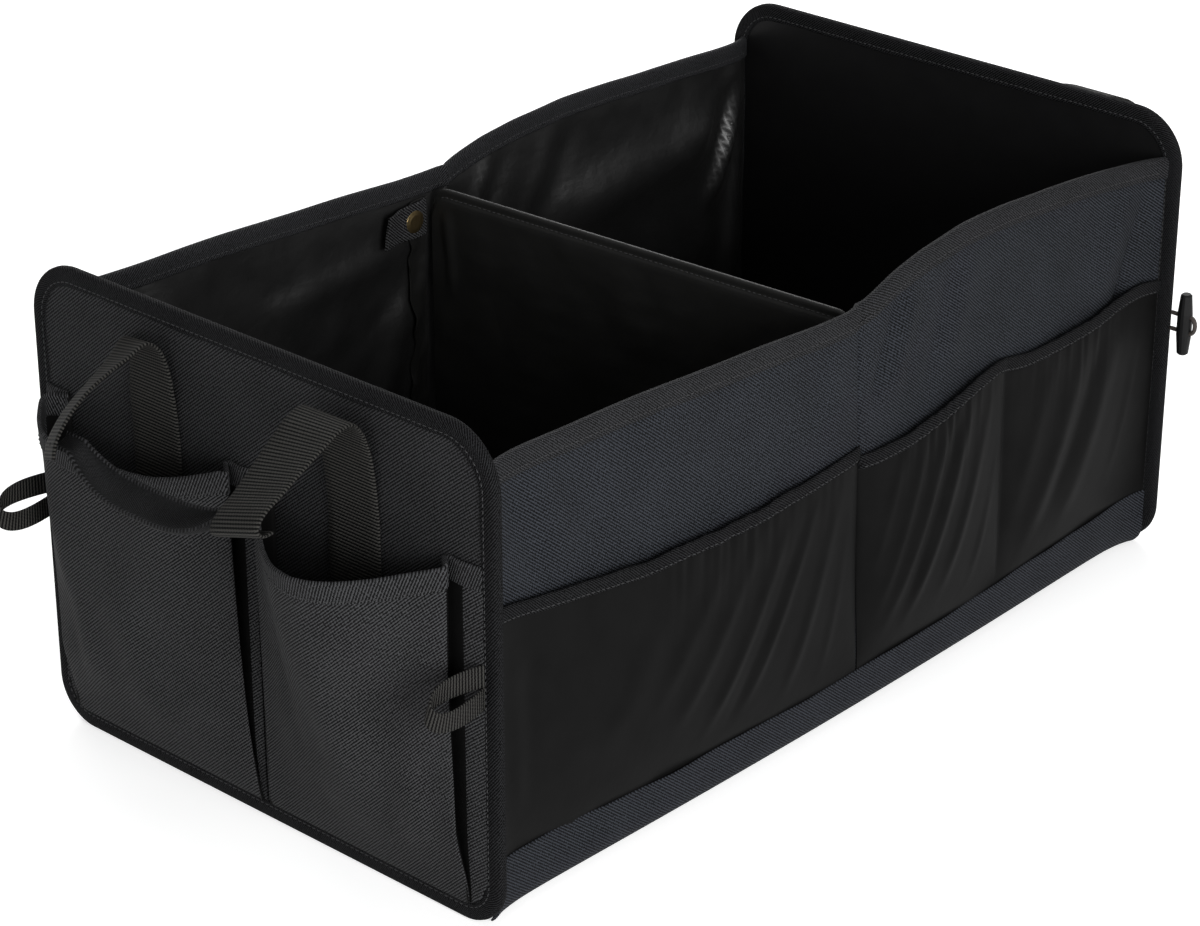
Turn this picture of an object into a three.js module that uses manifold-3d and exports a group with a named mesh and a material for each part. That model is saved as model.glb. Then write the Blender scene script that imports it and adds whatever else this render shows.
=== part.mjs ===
// Collapsible car trunk organizer: stiff end panels, soft long walls, divider, pockets, handles and toggles.
// Millimetres. +X runs from the near end to the far end, -Y is the front long side, +Z is up, floor at z = 0.
import * as THREE from 'three';
import { mergeVertices } from 'three/addons/utils/BufferGeometryUtils.js';
import Module from 'manifold-3d';

// Overall body, over both end panels
const BODY_LENGTH = 634;
const PANEL_WIDTH = 368;
const PANEL_HEIGHT = 302;
const PANEL_TOP_RADIUS = 36;
const PANEL_BOTTOM_RADIUS = 28;

// Sheet materials
const BOARD = 3;
const TWILL = 1.1;
const LINING = 0.7;
const NYLON = 0.8;
const TAPE = 0.9;
const TAPE_WIDTH = 11;
const GAP = 0.3;

// Long walls
const WALL_OFFSET = 168.5;
const WALL_LOW_BULGE = 6;
const WALL_FLARE = 6.5;
const WALL_FLARE_REACH = 14;
const WALL_FOOT_RADIUS = 14;
const FAR_TOP_LEAN = 7;
const LEAN_START = 190;
const NEAR_WALL_HEIGHT = 279;
const SEAM_HEIGHT = 266;
const FAR_CROWN_HEIGHT = 284;
const FAR_WALL_HEIGHT = 273;
const CROWN_PLACE = 0.45;
const HEM_DEPTH = 12;
const HEM_ROLL = 1.2;

// Divider
const DIVIDER_X = 0;
const DIVIDER_SKEW_DEG = 3;
const DIVIDER_WIDTH = 324;
const DIVIDER_BELOW_SEAM = 5.5;
const DIVIDER_CORNER = 12;
const PIPING_WIDTH = 3.6;
const PIPING_DEPTH = 4;
const FLANGE_WIDTH = 18;
const FLANGE_TAB_OVERLAP = 2;

// Base
const BASE_CLEARANCE = 2;
const BAND_MIDDLE_HEIGHT = 29.5;
const BAND_END_RISE = 10;

// Gathered pockets on the long walls
const POCKET_AT_PANEL = 196;
const POCKET_LOW = 176;
const POCKET_AT_SEAM = 181;
const POCKET_LOW_PLACE = 0.65;
const FAR_POCKET_AT_SEAM = 173;
const FAR_POCKET_HIGH = 192;
const FAR_POCKET_DIP = 5;
const POCKET_FOOT = 21;
const POCKET_BULGE = 9;
const POCKET_MOUTH = 6.5;
const POCKET_GATHER = 1.6;
const GATHER_PITCH = 52;
const GATHER_SLANT = 40;
const POCKET_STEP = 17;
const ELASTIC_WIDTH = 12;
const ELASTIC_THICKNESS = 1.6;

// Pleated pockets on the near end panel
const END_POCKET_MOUTH = 222;
const END_POCKET_SAG = 14;
const END_POCKET_BULGE = 43;
const END_POCKET_EDGE_LIFT = 9;
const END_POCKET_FLANGE = 9;
const END_POCKET_GUSSET = 5;
const END_POCKET_CENTRE_GAP = 16;

// Carry handles
const WEBBING_WIDTH = 38;
const WEBBING_THICKNESS = 1.8;
const HANDLE_SPACING = 159;
const STRAP_FOOT = 150;
const STRAP_APEX = 289;
const STRAP_BEND_START = 60;
const STRAP_REACH = 88;
const STRAP_END_HEIGHT = 244;
const STRAP_SHOULDER_DROP = 19;
const STRAP_CURL = 14;
const STRAP_CURL_RISE = 15.5;
const GRIP_LENGTH = 148;
const GRIP_THICKNESS = 4;
const GRIP_CHORD = 24;
const GRIP_END_CHORD = 15;
const GRIP_DEPTH = 13;
const GRIP_END_DEPTH = 4;
const GRIP_DROOP = 10;
const GRIP_OPEN_HALF = 57;
const GRIP_SETBACK = 6;

// Side loops that take the toggles when the organizer is folded
const LOOP_WEBBING_WIDTH = 12.7;
const LOOP_WEBBING_THICKNESS = 1.2;
const LOOP_REACH = 44;
const LOOP_OPENING = 14;
const LOOP_HEIGHT = 153;
const LOOP_INSET = 9;

// Toggles on their cords
const TOGGLE_LENGTH = 42;
const TOGGLE_DIAMETER = 10;
const TOGGLE_END_DIAMETER = 7.6;
const TOGGLE_HEIGHT = 164;
const TOGGLE_STANDOFF = 9.5;
const CORD_DIAMETER = 3;
const CORD_SPACING = 11;
const CORD_HOLE_CLEARANCE = 0.35;

// Snaps
const SNAP_TAB_LENGTH = 42;
const SNAP_TAB_HEIGHT = 24;
const SNAP_DROP = 26.5;
const SNAP_CAP_DIAMETER = 17;
const SNAP_CAP_HEIGHT = 2.6;
const SNAP_STUD_DIAMETER = 11;
const SNAP_STUD_HEIGHT = 1.6;
const SNAP_FROM_DIVIDER = 12.5;

const PANEL_STACK = TAPE + TWILL + BOARD + LINING + TAPE;
const HALF_LENGTH = BODY_LENGTH / 2;
const HALF_WIDTH = PANEL_WIDTH / 2;
const INNER_HALF_LENGTH = HALF_LENGTH - PANEL_STACK;
const WALL_END = INNER_HALF_LENGTH - GAP;
const WALL_STACK = TWILL + GAP + LINING;
const BASE_HALF_WIDTH = WALL_OFFSET - WALL_FOOT_RADIUS + 1.8;
const COVER_FACE = HALF_LENGTH - TAPE;
const DIVIDER_HEIGHT = SEAM_HEIGHT - DIVIDER_BELOW_SEAM;
const SNAP_HEIGHT = SEAM_HEIGHT - SNAP_DROP;
const FLANGE_HEIGHT = SNAP_HEIGHT - SNAP_TAB_HEIGHT / 2 + FLANGE_TAB_OVERLAP;

const wasm = await Module();
wasm.setup();

const organizer = new THREE.Group();

const MATERIALS = {
  twill: { color: 0x2c2d30, roughness: 0.85, metalness: 0 },
  wallTwill: { color: 0x303338, roughness: 0.85, metalness: 0 },
  lining: { color: 0x17181a, roughness: 0.55, metalness: 0 },
  nylon: { color: 0x1c1c1c, roughness: 0.5, metalness: 0 },
  tape: { color: 0x2a2b2c, roughness: 0.8, metalness: 0 },
  webbing: { color: 0x2e2d2a, roughness: 0.75, metalness: 0 },
  board: { color: 0x6b5f4c, roughness: 0.9, metalness: 0 },
  plastic: { color: 0x232323, roughness: 0.45, metalness: 0 },
  cord: { color: 0x1a1613, roughness: 0.8, metalness: 0 },
  brass: { color: 0x8a7038, roughness: 0.3, metalness: 1 },
};

function addMesh(name, geometry, material, parent = organizer) {
  const mesh = new THREE.Mesh(geometry, new THREE.MeshStandardMaterial(MATERIALS[material]));
  mesh.name = name;
  parent.add(mesh);
  return mesh;
}

function signedVolume(positions, indices) {
  let volume = 0;
  const corner = [new THREE.Vector3(), new THREE.Vector3(), new THREE.Vector3()];
  for (let i = 0; i < indices.length; i += 3) {
    corner.forEach((point, k) => point.fromArray(positions, indices[i + k] * 3));
    volume += corner[0].dot(corner[1].cross(corner[2])) / 6;
  }
  return volume;
}

// A closed geometry from points and triangles, turned so that its faces point out
function closedGeometry(points, indices) {
  const positions = points.flatMap((p) => [p.x, p.y, p.z]);
  const outward = signedVolume(positions, indices) > 0;
  const faces = outward ? indices : indices.slice().reverse();
  const geometry = new THREE.BufferGeometry();
  geometry.setAttribute('position', new THREE.Float32BufferAttribute(positions, 3));
  geometry.setIndex(faces);
  geometry.computeVertexNormals();
  return geometry;
}

// A sheet of cloth: a closed solid between two grids of points, face[i][j] and back[i][j]
function sheet(face, back) {
  const rows = face.length;
  const columns = face[0].length;
  const points = [...face.flat(), ...back.flat()];
  const offset = rows * columns;
  const at = (i, j) => i * columns + j;
  const indices = [];
  const quad = (a, b, c, d) => indices.push(a, b, c, a, c, d);
  for (let i = 0; i < rows - 1; i += 1) {
    for (let j = 0; j < columns - 1; j += 1) {
      quad(at(i, j), at(i + 1, j), at(i + 1, j + 1), at(i, j + 1));
      quad(offset + at(i, j), offset + at(i, j + 1), offset + at(i + 1, j + 1), offset + at(i + 1, j));
    }
  }
  const edge = (a, b) => quad(a, b, offset + b, offset + a);
  for (let i = 0; i < rows - 1; i += 1) {
    edge(at(i + 1, 0), at(i, 0));
    edge(at(i, columns - 1), at(i + 1, columns - 1));
  }
  for (let j = 0; j < columns - 1; j += 1) {
    edge(at(0, j), at(0, j + 1));
    edge(at(rows - 1, j + 1), at(rows - 1, j));
  }
  return closedGeometry(points, indices);
}

// A solid through a row of closed sections with the same number of points
function loft(sections, ring = false) {
  const count = sections[0].length;
  const indices = [];
  const last = ring ? sections.length : sections.length - 1;
  for (let k = 0; k < last; k += 1) {
    const next = (k + 1) % sections.length;
    for (let p = 0; p < count; p += 1) {
      const q = (p + 1) % count;
      const [a, b, c, d] = [k * count + p, k * count + q, next * count + q, next * count + p];
      indices.push(a, b, c, a, c, d);
    }
  }
  if (!ring) {
    const end = (sections.length - 1) * count;
    for (let p = 1; p < count - 1; p += 1) {
      indices.push(0, p + 1, p);
      indices.push(end, end + p, end + p + 1);
    }
  }
  return closedGeometry(sections.flat(), indices);
}

const steps = (count) => Array.from({ length: count + 1 }, (_, i) => i / count);
const lerp = THREE.MathUtils.lerp;
const smooth = (value, from, to) => THREE.MathUtils.smoothstep(value, from, to);

// End panels

// The panel's outline as points with outward directions, moved in by inset
function panelOutline(inset, arcSteps = 6) {
  const corners = [
    { y: HALF_WIDTH - PANEL_TOP_RADIUS, z: PANEL_HEIGHT - PANEL_TOP_RADIUS, r: PANEL_TOP_RADIUS, a: 0 },
    { y: -HALF_WIDTH + PANEL_TOP_RADIUS, z: PANEL_HEIGHT - PANEL_TOP_RADIUS, r: PANEL_TOP_RADIUS, a: 90 },
    { y: -HALF_WIDTH + PANEL_BOTTOM_RADIUS, z: PANEL_BOTTOM_RADIUS, r: PANEL_BOTTOM_RADIUS, a: 180 },
    { y: HALF_WIDTH - PANEL_BOTTOM_RADIUS, z: PANEL_BOTTOM_RADIUS, r: PANEL_BOTTOM_RADIUS, a: 270 },
  ];
  return corners.flatMap(({ y, z, r, a }) => steps(arcSteps).map((t) => {
    const angle = THREE.MathUtils.degToRad(a + 90 * t);
    const direction = { y: Math.cos(angle), z: Math.sin(angle) };
    return { y: y + (r - inset) * direction.y, z: z + (r - inset) * direction.z, direction };
  }));
}

function panelPlate(xOuter, thickness, inset, end) {
  const outline = panelOutline(inset);
  const section = (x) => outline.map(({ y, z }) => new THREE.Vector3(end * x, y, z));
  return loft([section(xOuter), section(xOuter - thickness)]);
}

// Tape folded round the panel's edge, a U section swept along the outline
function panelBinding(end) {
  const outer = HALF_LENGTH;
  const inner = HALF_LENGTH - PANEL_STACK;
  const profile = [
    [TAPE_WIDTH, outer], [0.7, outer], [0, outer - 0.7], [0, inner + 0.7], [0.7, inner], [TAPE_WIDTH, inner],
    [TAPE_WIDTH, inner + TAPE], [TAPE, inner + TAPE], [TAPE, outer - TAPE], [TAPE_WIDTH, outer - TAPE],
  ];
  const sections = panelOutline(0).map(({ y, z, direction }) => profile.map(([depth, x]) => new THREE.Vector3(
    end * x, y - depth * direction.y, z - depth * direction.z)));
  return loft(sections, true);
}

function addPanel(label, end) {
  const plateInset = TAPE + GAP;
  let x = COVER_FACE;
  addMesh(`${label}_panel_cover`, panelPlate(x, TWILL, plateInset, end), 'twill');
  x -= TWILL;
  addMesh(`${label}_panel_board`, panelPlate(x, BOARD, plateInset + 1, end), 'board');
  x -= BOARD;
  addMesh(`${label}_panel_lining`, panelPlate(x, LINING, plateInset, end), 'lining');
  addMesh(`${label}_panel_binding`, panelBinding(end), 'tape');
}

addPanel('near', -1);
addPanel('far', 1);

// Long walls

const nearShare = (x) => (x + WALL_END) / (DIVIDER_X + WALL_END);
const farShare = (x) => (x - DIVIDER_X) / (WALL_END - DIVIDER_X);

function wallTop(x) {
  if (x <= DIVIDER_X) {
    return lerp(NEAR_WALL_HEIGHT, SEAM_HEIGHT, Math.max(0, nearShare(x)) ** 1.35);
  }
  const t = farShare(x);
  if (t < CROWN_PLACE) {
    return lerp(SEAM_HEIGHT, FAR_CROWN_HEIGHT, 1 - (1 - t / CROWN_PLACE) ** 3);
  }
  return lerp(FAR_CROWN_HEIGHT, FAR_WALL_HEIGHT, ((t - CROWN_PLACE) / (1 - CROWN_PLACE)) ** 2);
}

// Places along the wall where its cloth is bent; between them it is straight
const FLARE_STEPS = [0, 6, 14, 28];
const wallStations = [
  ...FLARE_STEPS.map((d) => -WALL_END + d),
  ...[0.22, 0.36, 0.52, 0.68, 0.84, 1].map((t) => lerp(-WALL_END, DIVIDER_X, t)),
  ...[0.06, 0.12, 0.2, 0.3, 0.42, 0.56, 0.7, 0.81].map((t) => lerp(DIVIDER_X, WALL_END, t)),
  ...FLARE_STEPS.toReversed().map((d) => WALL_END - d),
];

// Distance of the wall's outer face from the middle plane
function wallFaceAt(x, z) {
  const share = (x + WALL_END) / (2 * WALL_END);
  const low = WALL_LOW_BULGE * Math.sin(Math.PI * share) * (1 - 0.8 * z / PANEL_HEIGHT);
  const flare = WALL_FLARE * Math.exp(-(WALL_END - Math.abs(x)) / WALL_FLARE_REACH);
  const leanShare = Math.max(0, z - LEAN_START) / (FAR_CROWN_HEIGHT - LEAN_START);
  const lean = FAR_TOP_LEAN * Math.sin(Math.PI * Math.max(0, farShare(x))) * leanShare;
  return WALL_OFFSET + low + flare - lean;
}

function wallFace(x, z) {
  const next = Math.max(1, wallStations.findIndex((station) => station >= x - 1e-6));
  const [from, to] = [wallStations[next - 1], wallStations[next]];
  return lerp(wallFaceAt(from, z), wallFaceAt(to, z), (x - from) / (to - from));
}

// A point of the wall, lift outside its outer face
function wallPoint(side, x, z, lift) {
  return new THREE.Vector3(x, side * (wallFace(x, z) + lift), z);
}

// A point of the rounded foot, at an angle from straight below its centre
function footPoint(side, x, angleDeg, lift) {
  const angle = THREE.MathUtils.degToRad(angleDeg);
  const radius = WALL_FOOT_RADIUS + lift;
  const y = wallFace(x, WALL_FOOT_RADIUS) - WALL_FOOT_RADIUS + radius * Math.sin(angle);
  return new THREE.Vector3(x, side * y, WALL_FOOT_RADIUS - radius * Math.cos(angle));
}

function wallRows(x) {
  return [WALL_FOOT_RADIUS, LEAN_START / 2, LEAN_START, (LEAN_START + wallTop(x)) / 2, wallTop(x)];
}

function wallCover(side) {
  const surface = (lift) => wallStations.map((x) => [
    ...[0, 36, 66].map((angle) => footPoint(side, x, angle, lift)),
    ...wallRows(x).map((z) => wallPoint(side, x, z, lift)),
  ]);
  return sheet(surface(0), surface(-TWILL));
}

function wallLining(side) {
  const surface = (lift) => wallStations.map((x) => wallRows(x).map((z) => wallPoint(side, x, z, lift)));
  return sheet(surface(-TWILL - GAP), surface(-WALL_STACK));
}

// Folded twill over the wall's top edge
function wallHem(side) {
  const outside = GAP + TWILL;
  const inside = -WALL_STACK - GAP - TWILL;
  const profile = [
    [outside, -HEM_DEPTH], [outside, GAP], [outside - HEM_ROLL, GAP + HEM_ROLL],
    [inside + HEM_ROLL, GAP + HEM_ROLL], [inside, GAP], [inside, -HEM_DEPTH],
    [inside + TWILL, -HEM_DEPTH], [inside + TWILL, GAP], [GAP, GAP], [GAP, -HEM_DEPTH],
  ];
  const sections = wallStations.map((x) => profile.map(
    ([lift, rise]) => wallPoint(side, x, wallTop(x) + rise, lift)));
  return capped(sections, [[0, 1, 8, 9], [1, 2, 3, 4, 7, 8], [4, 5, 6, 7]]);
}

// A loft whose concave section is capped by convex faces
function capped(sections, faces) {
  const count = sections[0].length;
  const indices = [];
  for (let k = 0; k < sections.length - 1; k += 1) {
    for (let p = 0; p < count; p += 1) {
      const q = (p + 1) % count;
      const [a, b, c, d] = [k * count + p, k * count + q, (k + 1) * count + q, (k + 1) * count + p];
      indices.push(a, b, c, a, c, d);
    }
  }
  const end = (sections.length - 1) * count;
  faces.forEach((face) => {
    for (let p = 1; p < face.length - 1; p += 1) {
      indices.push(face[0], face[p + 1], face[p]);
      indices.push(end + face[0], end + face[p], end + face[p + 1]);
    }
  });
  return closedGeometry(sections.flat(), indices);
}

function bandTop(x) {
  return BAND_MIDDLE_HEIGHT + BAND_END_RISE * (x / WALL_END) ** 2;
}

const POCKET_INNER = GAP;
const BAND_INNER = POCKET_INNER + NYLON + GAP;

function baseBand(side) {
  const surface = (lift) => wallStations.map((x) => [
    ...[35, 62, 90].map((angle) => footPoint(side, x, angle, lift)),
    wallPoint(side, x, bandTop(x), lift),
  ]);
  return sheet(surface(BAND_INNER + TWILL), surface(BAND_INNER));
}

// Gathered side pockets

function nearPocketTop(t) {
  if (t < POCKET_LOW_PLACE) {
    return lerp(POCKET_LOW, POCKET_AT_PANEL, (1 - t / POCKET_LOW_PLACE) ** 2);
  }
  return lerp(POCKET_LOW, POCKET_AT_SEAM, ((t - POCKET_LOW_PLACE) / (1 - POCKET_LOW_PLACE)) ** 2);
}

function farPocketTop(t) {
  if (t < 0.5) {
    return lerp(FAR_POCKET_AT_SEAM, FAR_POCKET_HIGH, smooth(t, 0, 0.5));
  }
  return FAR_POCKET_HIGH - FAR_POCKET_DIP * Math.sin(Math.PI * (t - 0.5) / 0.5);
}

// One gathered pocket: where it runs, how high its mouth is, and where seams hold it to the wall
const NEAR_POCKET = { from: -WALL_END + GAP, to: DIVIDER_X + 4, top: nearPocketTop, seams: [0, 1] };
const FAR_POCKET = { from: DIVIDER_X + 6, to: WALL_END - GAP, top: farPocketTop, seams: [0, 0.5, 1] };

function pocketFullness(pocket, u) {
  const held = pocket.seams;
  const cell = held.findIndex((seam, k) => k > 0 && u <= seam) || held.length - 1;
  const t = (u - held[cell - 1]) / (held[cell] - held[cell - 1]);
  return Math.sin(Math.PI * THREE.MathUtils.clamp(t, 0, 1)) ** 0.6;
}

// How far the pocket cloth stands off the wall, from its foot seam (v = 0) to its mouth (v = 1)
function pocketLift(pocket, u, v) {
  const length = pocket.to - pocket.from;
  const fullness = pocketFullness(pocket, u);
  const swell = POCKET_BULGE * Math.sin(Math.PI * v) ** 0.8 * (1 - 0.35 * v) + POCKET_MOUTH * v;
  const slant = (u * length - GATHER_SLANT * (1 - v)) / GATHER_PITCH;
  const gather = POCKET_GATHER * Math.sin(2 * Math.PI * slant) * Math.sin(Math.PI * v * 0.9);
  return fullness * (swell + gather);
}

// Shares of the pocket's length at which its cloth is bent, the wall's own bends among them
function pocketStations(pocket) {
  const length = pocket.to - pocket.from;
  const bends = wallStations.map((x) => (x - pocket.from) / length).filter((u) => u > 0.005 && u < 0.995);
  const knots = [...new Set([...pocket.seams, ...bends])].sort((a, b) => a - b);
  return knots.flatMap((u, k) => {
    if (k === 0) {
      return [u];
    }
    const pieces = Math.ceil((u - knots[k - 1]) * length / POCKET_STEP);
    return steps(pieces).slice(1).map((t) => lerp(knots[k - 1], u, t));
  });
}

function sidePocket(side, pocket) {
  const rows = [0, 0.12, 0.3, 0.5, 0.72, 0.9, 1];
  const surface = (base) => pocketStations(pocket).map((u) => {
    const x = lerp(pocket.from, pocket.to, u);
    const seam = bandTop(x) + 1;
    const top = pocket.top(u) - ELASTIC_WIDTH - GAP;
    return [
      wallPoint(side, x, POCKET_FOOT, base),
      ...rows.map((v) => wallPoint(side, x, lerp(seam, top, v), base + pocketLift(pocket, u, v))),
    ];
  });
  return sheet(surface(POCKET_INNER + NYLON), surface(POCKET_INNER));
}

// The bound elastic along the pocket's mouth, a flat tube standing on the pocket cloth's top edge
function pocketElastic(side, pocket) {
  const sections = pocketStations(pocket).map((u) => {
    const x = lerp(pocket.from, pocket.to, u);
    const lift = POCKET_INNER + pocketLift(pocket, u, 1);
    const top = pocket.top(u);
    const foot = top - ELASTIC_WIDTH;
    const profile = [
      [0, foot], [ELASTIC_THICKNESS, foot], [ELASTIC_THICKNESS, top - 0.6],
      [ELASTIC_THICKNESS - 0.6, top], [0.6, top], [0, top - 0.6],
    ];
    return profile.map(([out, z]) => wallPoint(side, x, z, lift + out));
  });
  return loft(sections);
}

function addWall(label, side) {
  addMesh(`${label}_wall_cover`, wallCover(side), 'wallTwill');
  addMesh(`${label}_wall_lining`, wallLining(side), 'lining');
  addMesh(`${label}_wall_top_hem`, wallHem(side), 'wallTwill');
  addMesh(`${label}_base_band`, baseBand(side), 'wallTwill');
  addMesh(`${label}_pocket_near`, sidePocket(side, NEAR_POCKET), 'nylon');
  addMesh(`${label}_pocket_near_elastic`, pocketElastic(side, NEAR_POCKET), 'tape');
  addMesh(`${label}_pocket_far`, sidePocket(side, FAR_POCKET), 'nylon');
  addMesh(`${label}_pocket_far_elastic`, pocketElastic(side, FAR_POCKET), 'tape');
}

addWall('front', -1);
addWall('rear', 1);

// Base

function slab(x0, x1, halfWidth, z0, thickness) {
  const geometry = new THREE.BoxGeometry(x1 - x0, 2 * halfWidth, thickness);
  geometry.translate((x0 + x1) / 2, 0, z0 + thickness / 2);
  return geometry;
}

const BOARD_HALF_WIDTH = BASE_HALF_WIDTH - BASE_CLEARANCE;
const BOARD_END = WALL_END - BASE_CLEARANCE;
const DIVIDER_ROOM = PIPING_WIDTH;

addMesh('base_cover', slab(-WALL_END, WALL_END, BASE_HALF_WIDTH - GAP, 0, TWILL), 'twill');
addMesh('near_base_board', slab(-BOARD_END, DIVIDER_X - DIVIDER_ROOM, BOARD_HALF_WIDTH, TWILL, BOARD), 'board');
addMesh('far_base_board', slab(DIVIDER_X + DIVIDER_ROOM, BOARD_END, BOARD_HALF_WIDTH, TWILL, BOARD), 'board');
addMesh('base_lining', slab(-BOARD_END, BOARD_END, BOARD_HALF_WIDTH, TWILL + BOARD, LINING), 'lining');

// Divider

const FLOOR_TOP = TWILL + BOARD + LINING;
const dividerGroup = new THREE.Group();
dividerGroup.position.set(DIVIDER_X, 0, 0);
dividerGroup.rotation.z = THREE.MathUtils.degToRad(DIVIDER_SKEW_DEG);
organizer.add(dividerGroup);

// The divider's face seen along X, with rounded top corners
function dividerShape(halfWidth, bottom, top, radius) {
  const shape = new THREE.Shape();
  shape.moveTo(-halfWidth, bottom);
  shape.lineTo(halfWidth, bottom);
  shape.lineTo(halfWidth, top - radius);
  shape.absarc(halfWidth - radius, top - radius, radius, 0, Math.PI / 2);
  shape.lineTo(-halfWidth + radius, top);
  shape.absarc(-halfWidth + radius, top - radius, radius, Math.PI / 2, Math.PI);
  return shape;
}

function plateAcrossX(shape, thickness) {
  const geometry = new THREE.ExtrudeGeometry(shape, { depth: thickness, bevelEnabled: false, curveSegments: 5 });
  geometry.translate(0, 0, -thickness / 2);
  geometry.rotateX(Math.PI / 2);
  geometry.rotateZ(Math.PI / 2);
  return geometry;
}

const HALF_DIVIDER = DIVIDER_WIDTH / 2;
const DIVIDER_FOOT = FLOOR_TOP + GAP;
const COVER_TOP = DIVIDER_HEIGHT - PIPING_DEPTH / 2;
const SLEEVE = BOARD + 2 * (GAP + TWILL);

function dividerCover() {
  const outer = manifoldOf(plateAcrossX(
    dividerShape(HALF_DIVIDER, DIVIDER_FOOT, COVER_TOP, DIVIDER_CORNER), SLEEVE));
  const inside = HALF_DIVIDER - TWILL;
  const cavity = manifoldOf(plateAcrossX(
    dividerShape(inside, DIVIDER_FOOT - 5, COVER_TOP - TWILL, DIVIDER_CORNER - TWILL), BOARD + 2 * GAP));
  return geometryOf(outer.subtract(cavity));
}

function manifoldOf(geometry) {
  const bare = geometry.clone();
  bare.deleteAttribute('normal');
  bare.deleteAttribute('uv');
  const merged = mergeVertices(bare, 1e-5);
  return new wasm.Manifold(new wasm.Mesh({
    numProp: 3,
    vertProperties: new Float32Array(merged.attributes.position.array),
    triVerts: new Uint32Array(merged.index.array),
  }));
}

function geometryOf(manifold) {
  const mesh = manifold.getMesh();
  const geometry = new THREE.BufferGeometry();
  geometry.setAttribute('position', new THREE.Float32BufferAttribute(mesh.vertProperties, 3));
  geometry.setIndex(Array.from(mesh.triVerts));
  geometry.computeVertexNormals();
  return geometry;
}

// Piping that follows the divider's top edge and rounded corners
function dividerPiping() {
  const straight = HALF_DIVIDER - DIVIDER_CORNER;
  const centre = COVER_TOP - DIVIDER_CORNER;
  const radius = DIVIDER_CORNER + GAP + PIPING_DEPTH / 2;
  const arc = (sign, order) => order.map((t) => {
    const angle = t * Math.PI / 2;
    const direction = { y: sign * Math.cos(angle), z: Math.sin(angle) };
    return { y: sign * straight + radius * direction.y, z: centre + radius * direction.z, direction };
  });
  const path = [...arc(1, steps(5)), ...arc(-1, steps(5).reverse())];
  const sections = path.map(({ y, z, direction }) => steps(7).map((t) => {
    const angle = t * 7 / 8 * 2 * Math.PI;
    const across = PIPING_WIDTH / 2 * Math.cos(angle);
    const out = PIPING_DEPTH / 2 * Math.sin(angle);
    return new THREE.Vector3(across, y + out * direction.y, z + out * direction.z);
  }));
  return loft(sections);
}

addMesh('divider_board', plateAcrossX(dividerShape(HALF_DIVIDER - TWILL - GAP, DIVIDER_FOOT + GAP,
  COVER_TOP - TWILL - GAP, DIVIDER_CORNER - TWILL), BOARD), 'board', dividerGroup);
addMesh('divider_cover', dividerCover(), 'lining', dividerGroup);
addMesh('divider_piping', dividerPiping(), 'lining', dividerGroup);

// Cloth strip that joins the divider's edge to the long wall, sewn on the wall's lining
function dividerFlange(side) {
  const skew = Math.tan(THREE.MathUtils.degToRad(DIVIDER_SKEW_DEG));
  const edge = DIVIDER_X - side * skew * WALL_OFFSET - SLEEVE / 2 - GAP;
  const surface = (lift) => [edge - FLANGE_WIDTH, edge].map((x) => steps(4).map(
    (t) => wallPoint(side, x, lerp(WALL_FOOT_RADIUS + 4, FLANGE_HEIGHT, t), lift)));
  const lift = -WALL_STACK - GAP;
  return sheet(surface(lift), surface(lift - TWILL));
}

addMesh('front_divider_flange', dividerFlange(-1), 'lining');
addMesh('rear_divider_flange', dividerFlange(1), 'lining');

// Snap tabs by the divider

// A round piece that stands along +Y, from its profile of [radius, height] points
function turned(profile, segments) {
  return new THREE.LatheGeometry(profile.map(([r, h]) => new THREE.Vector2(r, h)), segments);
}

function snapCap() {
  const [r, h] = [SNAP_CAP_DIAMETER / 2, SNAP_CAP_HEIGHT];
  return turned([[0, 0], [r, 0], [r, 0.35 * h], [0.88 * r, 0.75 * h], [0.55 * r, h], [0, h]], 20);
}

function snapStud() {
  const [r, h] = [SNAP_STUD_DIAMETER / 2, SNAP_STUD_HEIGHT];
  return turned([[0, 0], [r, 0], [r, h], [0, h]], 16);
}

function addSnap(label, side) {
  const skew = Math.tan(THREE.MathUtils.degToRad(DIVIDER_SKEW_DEG));
  const edge = DIVIDER_X - side * skew * WALL_OFFSET - SLEEVE / 2 - 1;
  const face = wallFace(edge - SNAP_TAB_LENGTH / 2, SNAP_HEIGHT) - WALL_STACK - GAP;
  const tabFace = face - SNAP_STUD_HEIGHT;
  const tab = new THREE.BoxGeometry(SNAP_TAB_LENGTH, TWILL, SNAP_TAB_HEIGHT);
  tab.translate(edge - SNAP_TAB_LENGTH / 2, side * (tabFace - GAP - TWILL / 2), SNAP_HEIGHT);
  addMesh(`${label}_snap_tab`, tab, 'twill');
  const snapX = edge - SNAP_FROM_DIVIDER;
  const cap = addMesh(`${label}_snap_cap`, snapCap(), 'brass');
  cap.rotation.x = side > 0 ? Math.PI : 0;
  cap.position.set(snapX, side * (tabFace - 2 * GAP - TWILL), SNAP_HEIGHT);
  const stud = addMesh(`${label}_snap_stud`, snapStud(), 'brass');
  stud.rotation.x = side > 0 ? Math.PI : 0;
  stud.position.set(snapX, side * face, SNAP_HEIGHT);
}

addSnap('front', -1);
addSnap('rear', 1);

// Pleated pockets on the near panel

// Offsets a plan polyline of [y, d] points by a distance, square at its ends and mitred at its corners
function offsetPlan(points, distance) {
  return points.map((point, k) => {
    const before = points[Math.max(0, k - 1)];
    const after = points[Math.min(points.length - 1, k + 1)];
    const first = k === 0 ? null : direction(before, point);
    const second = k === points.length - 1 ? null : direction(point, after);
    const a = first ?? second;
    const b = second ?? first;
    const normal = new THREE.Vector2(-(a.y + b.y), a.x + b.x).normalize();
    const cosine = Math.max(0.45, normal.dot(new THREE.Vector2(-a.y, a.x)));
    return point.clone().addScaledVector(normal, distance / cosine);
  });
}

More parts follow.
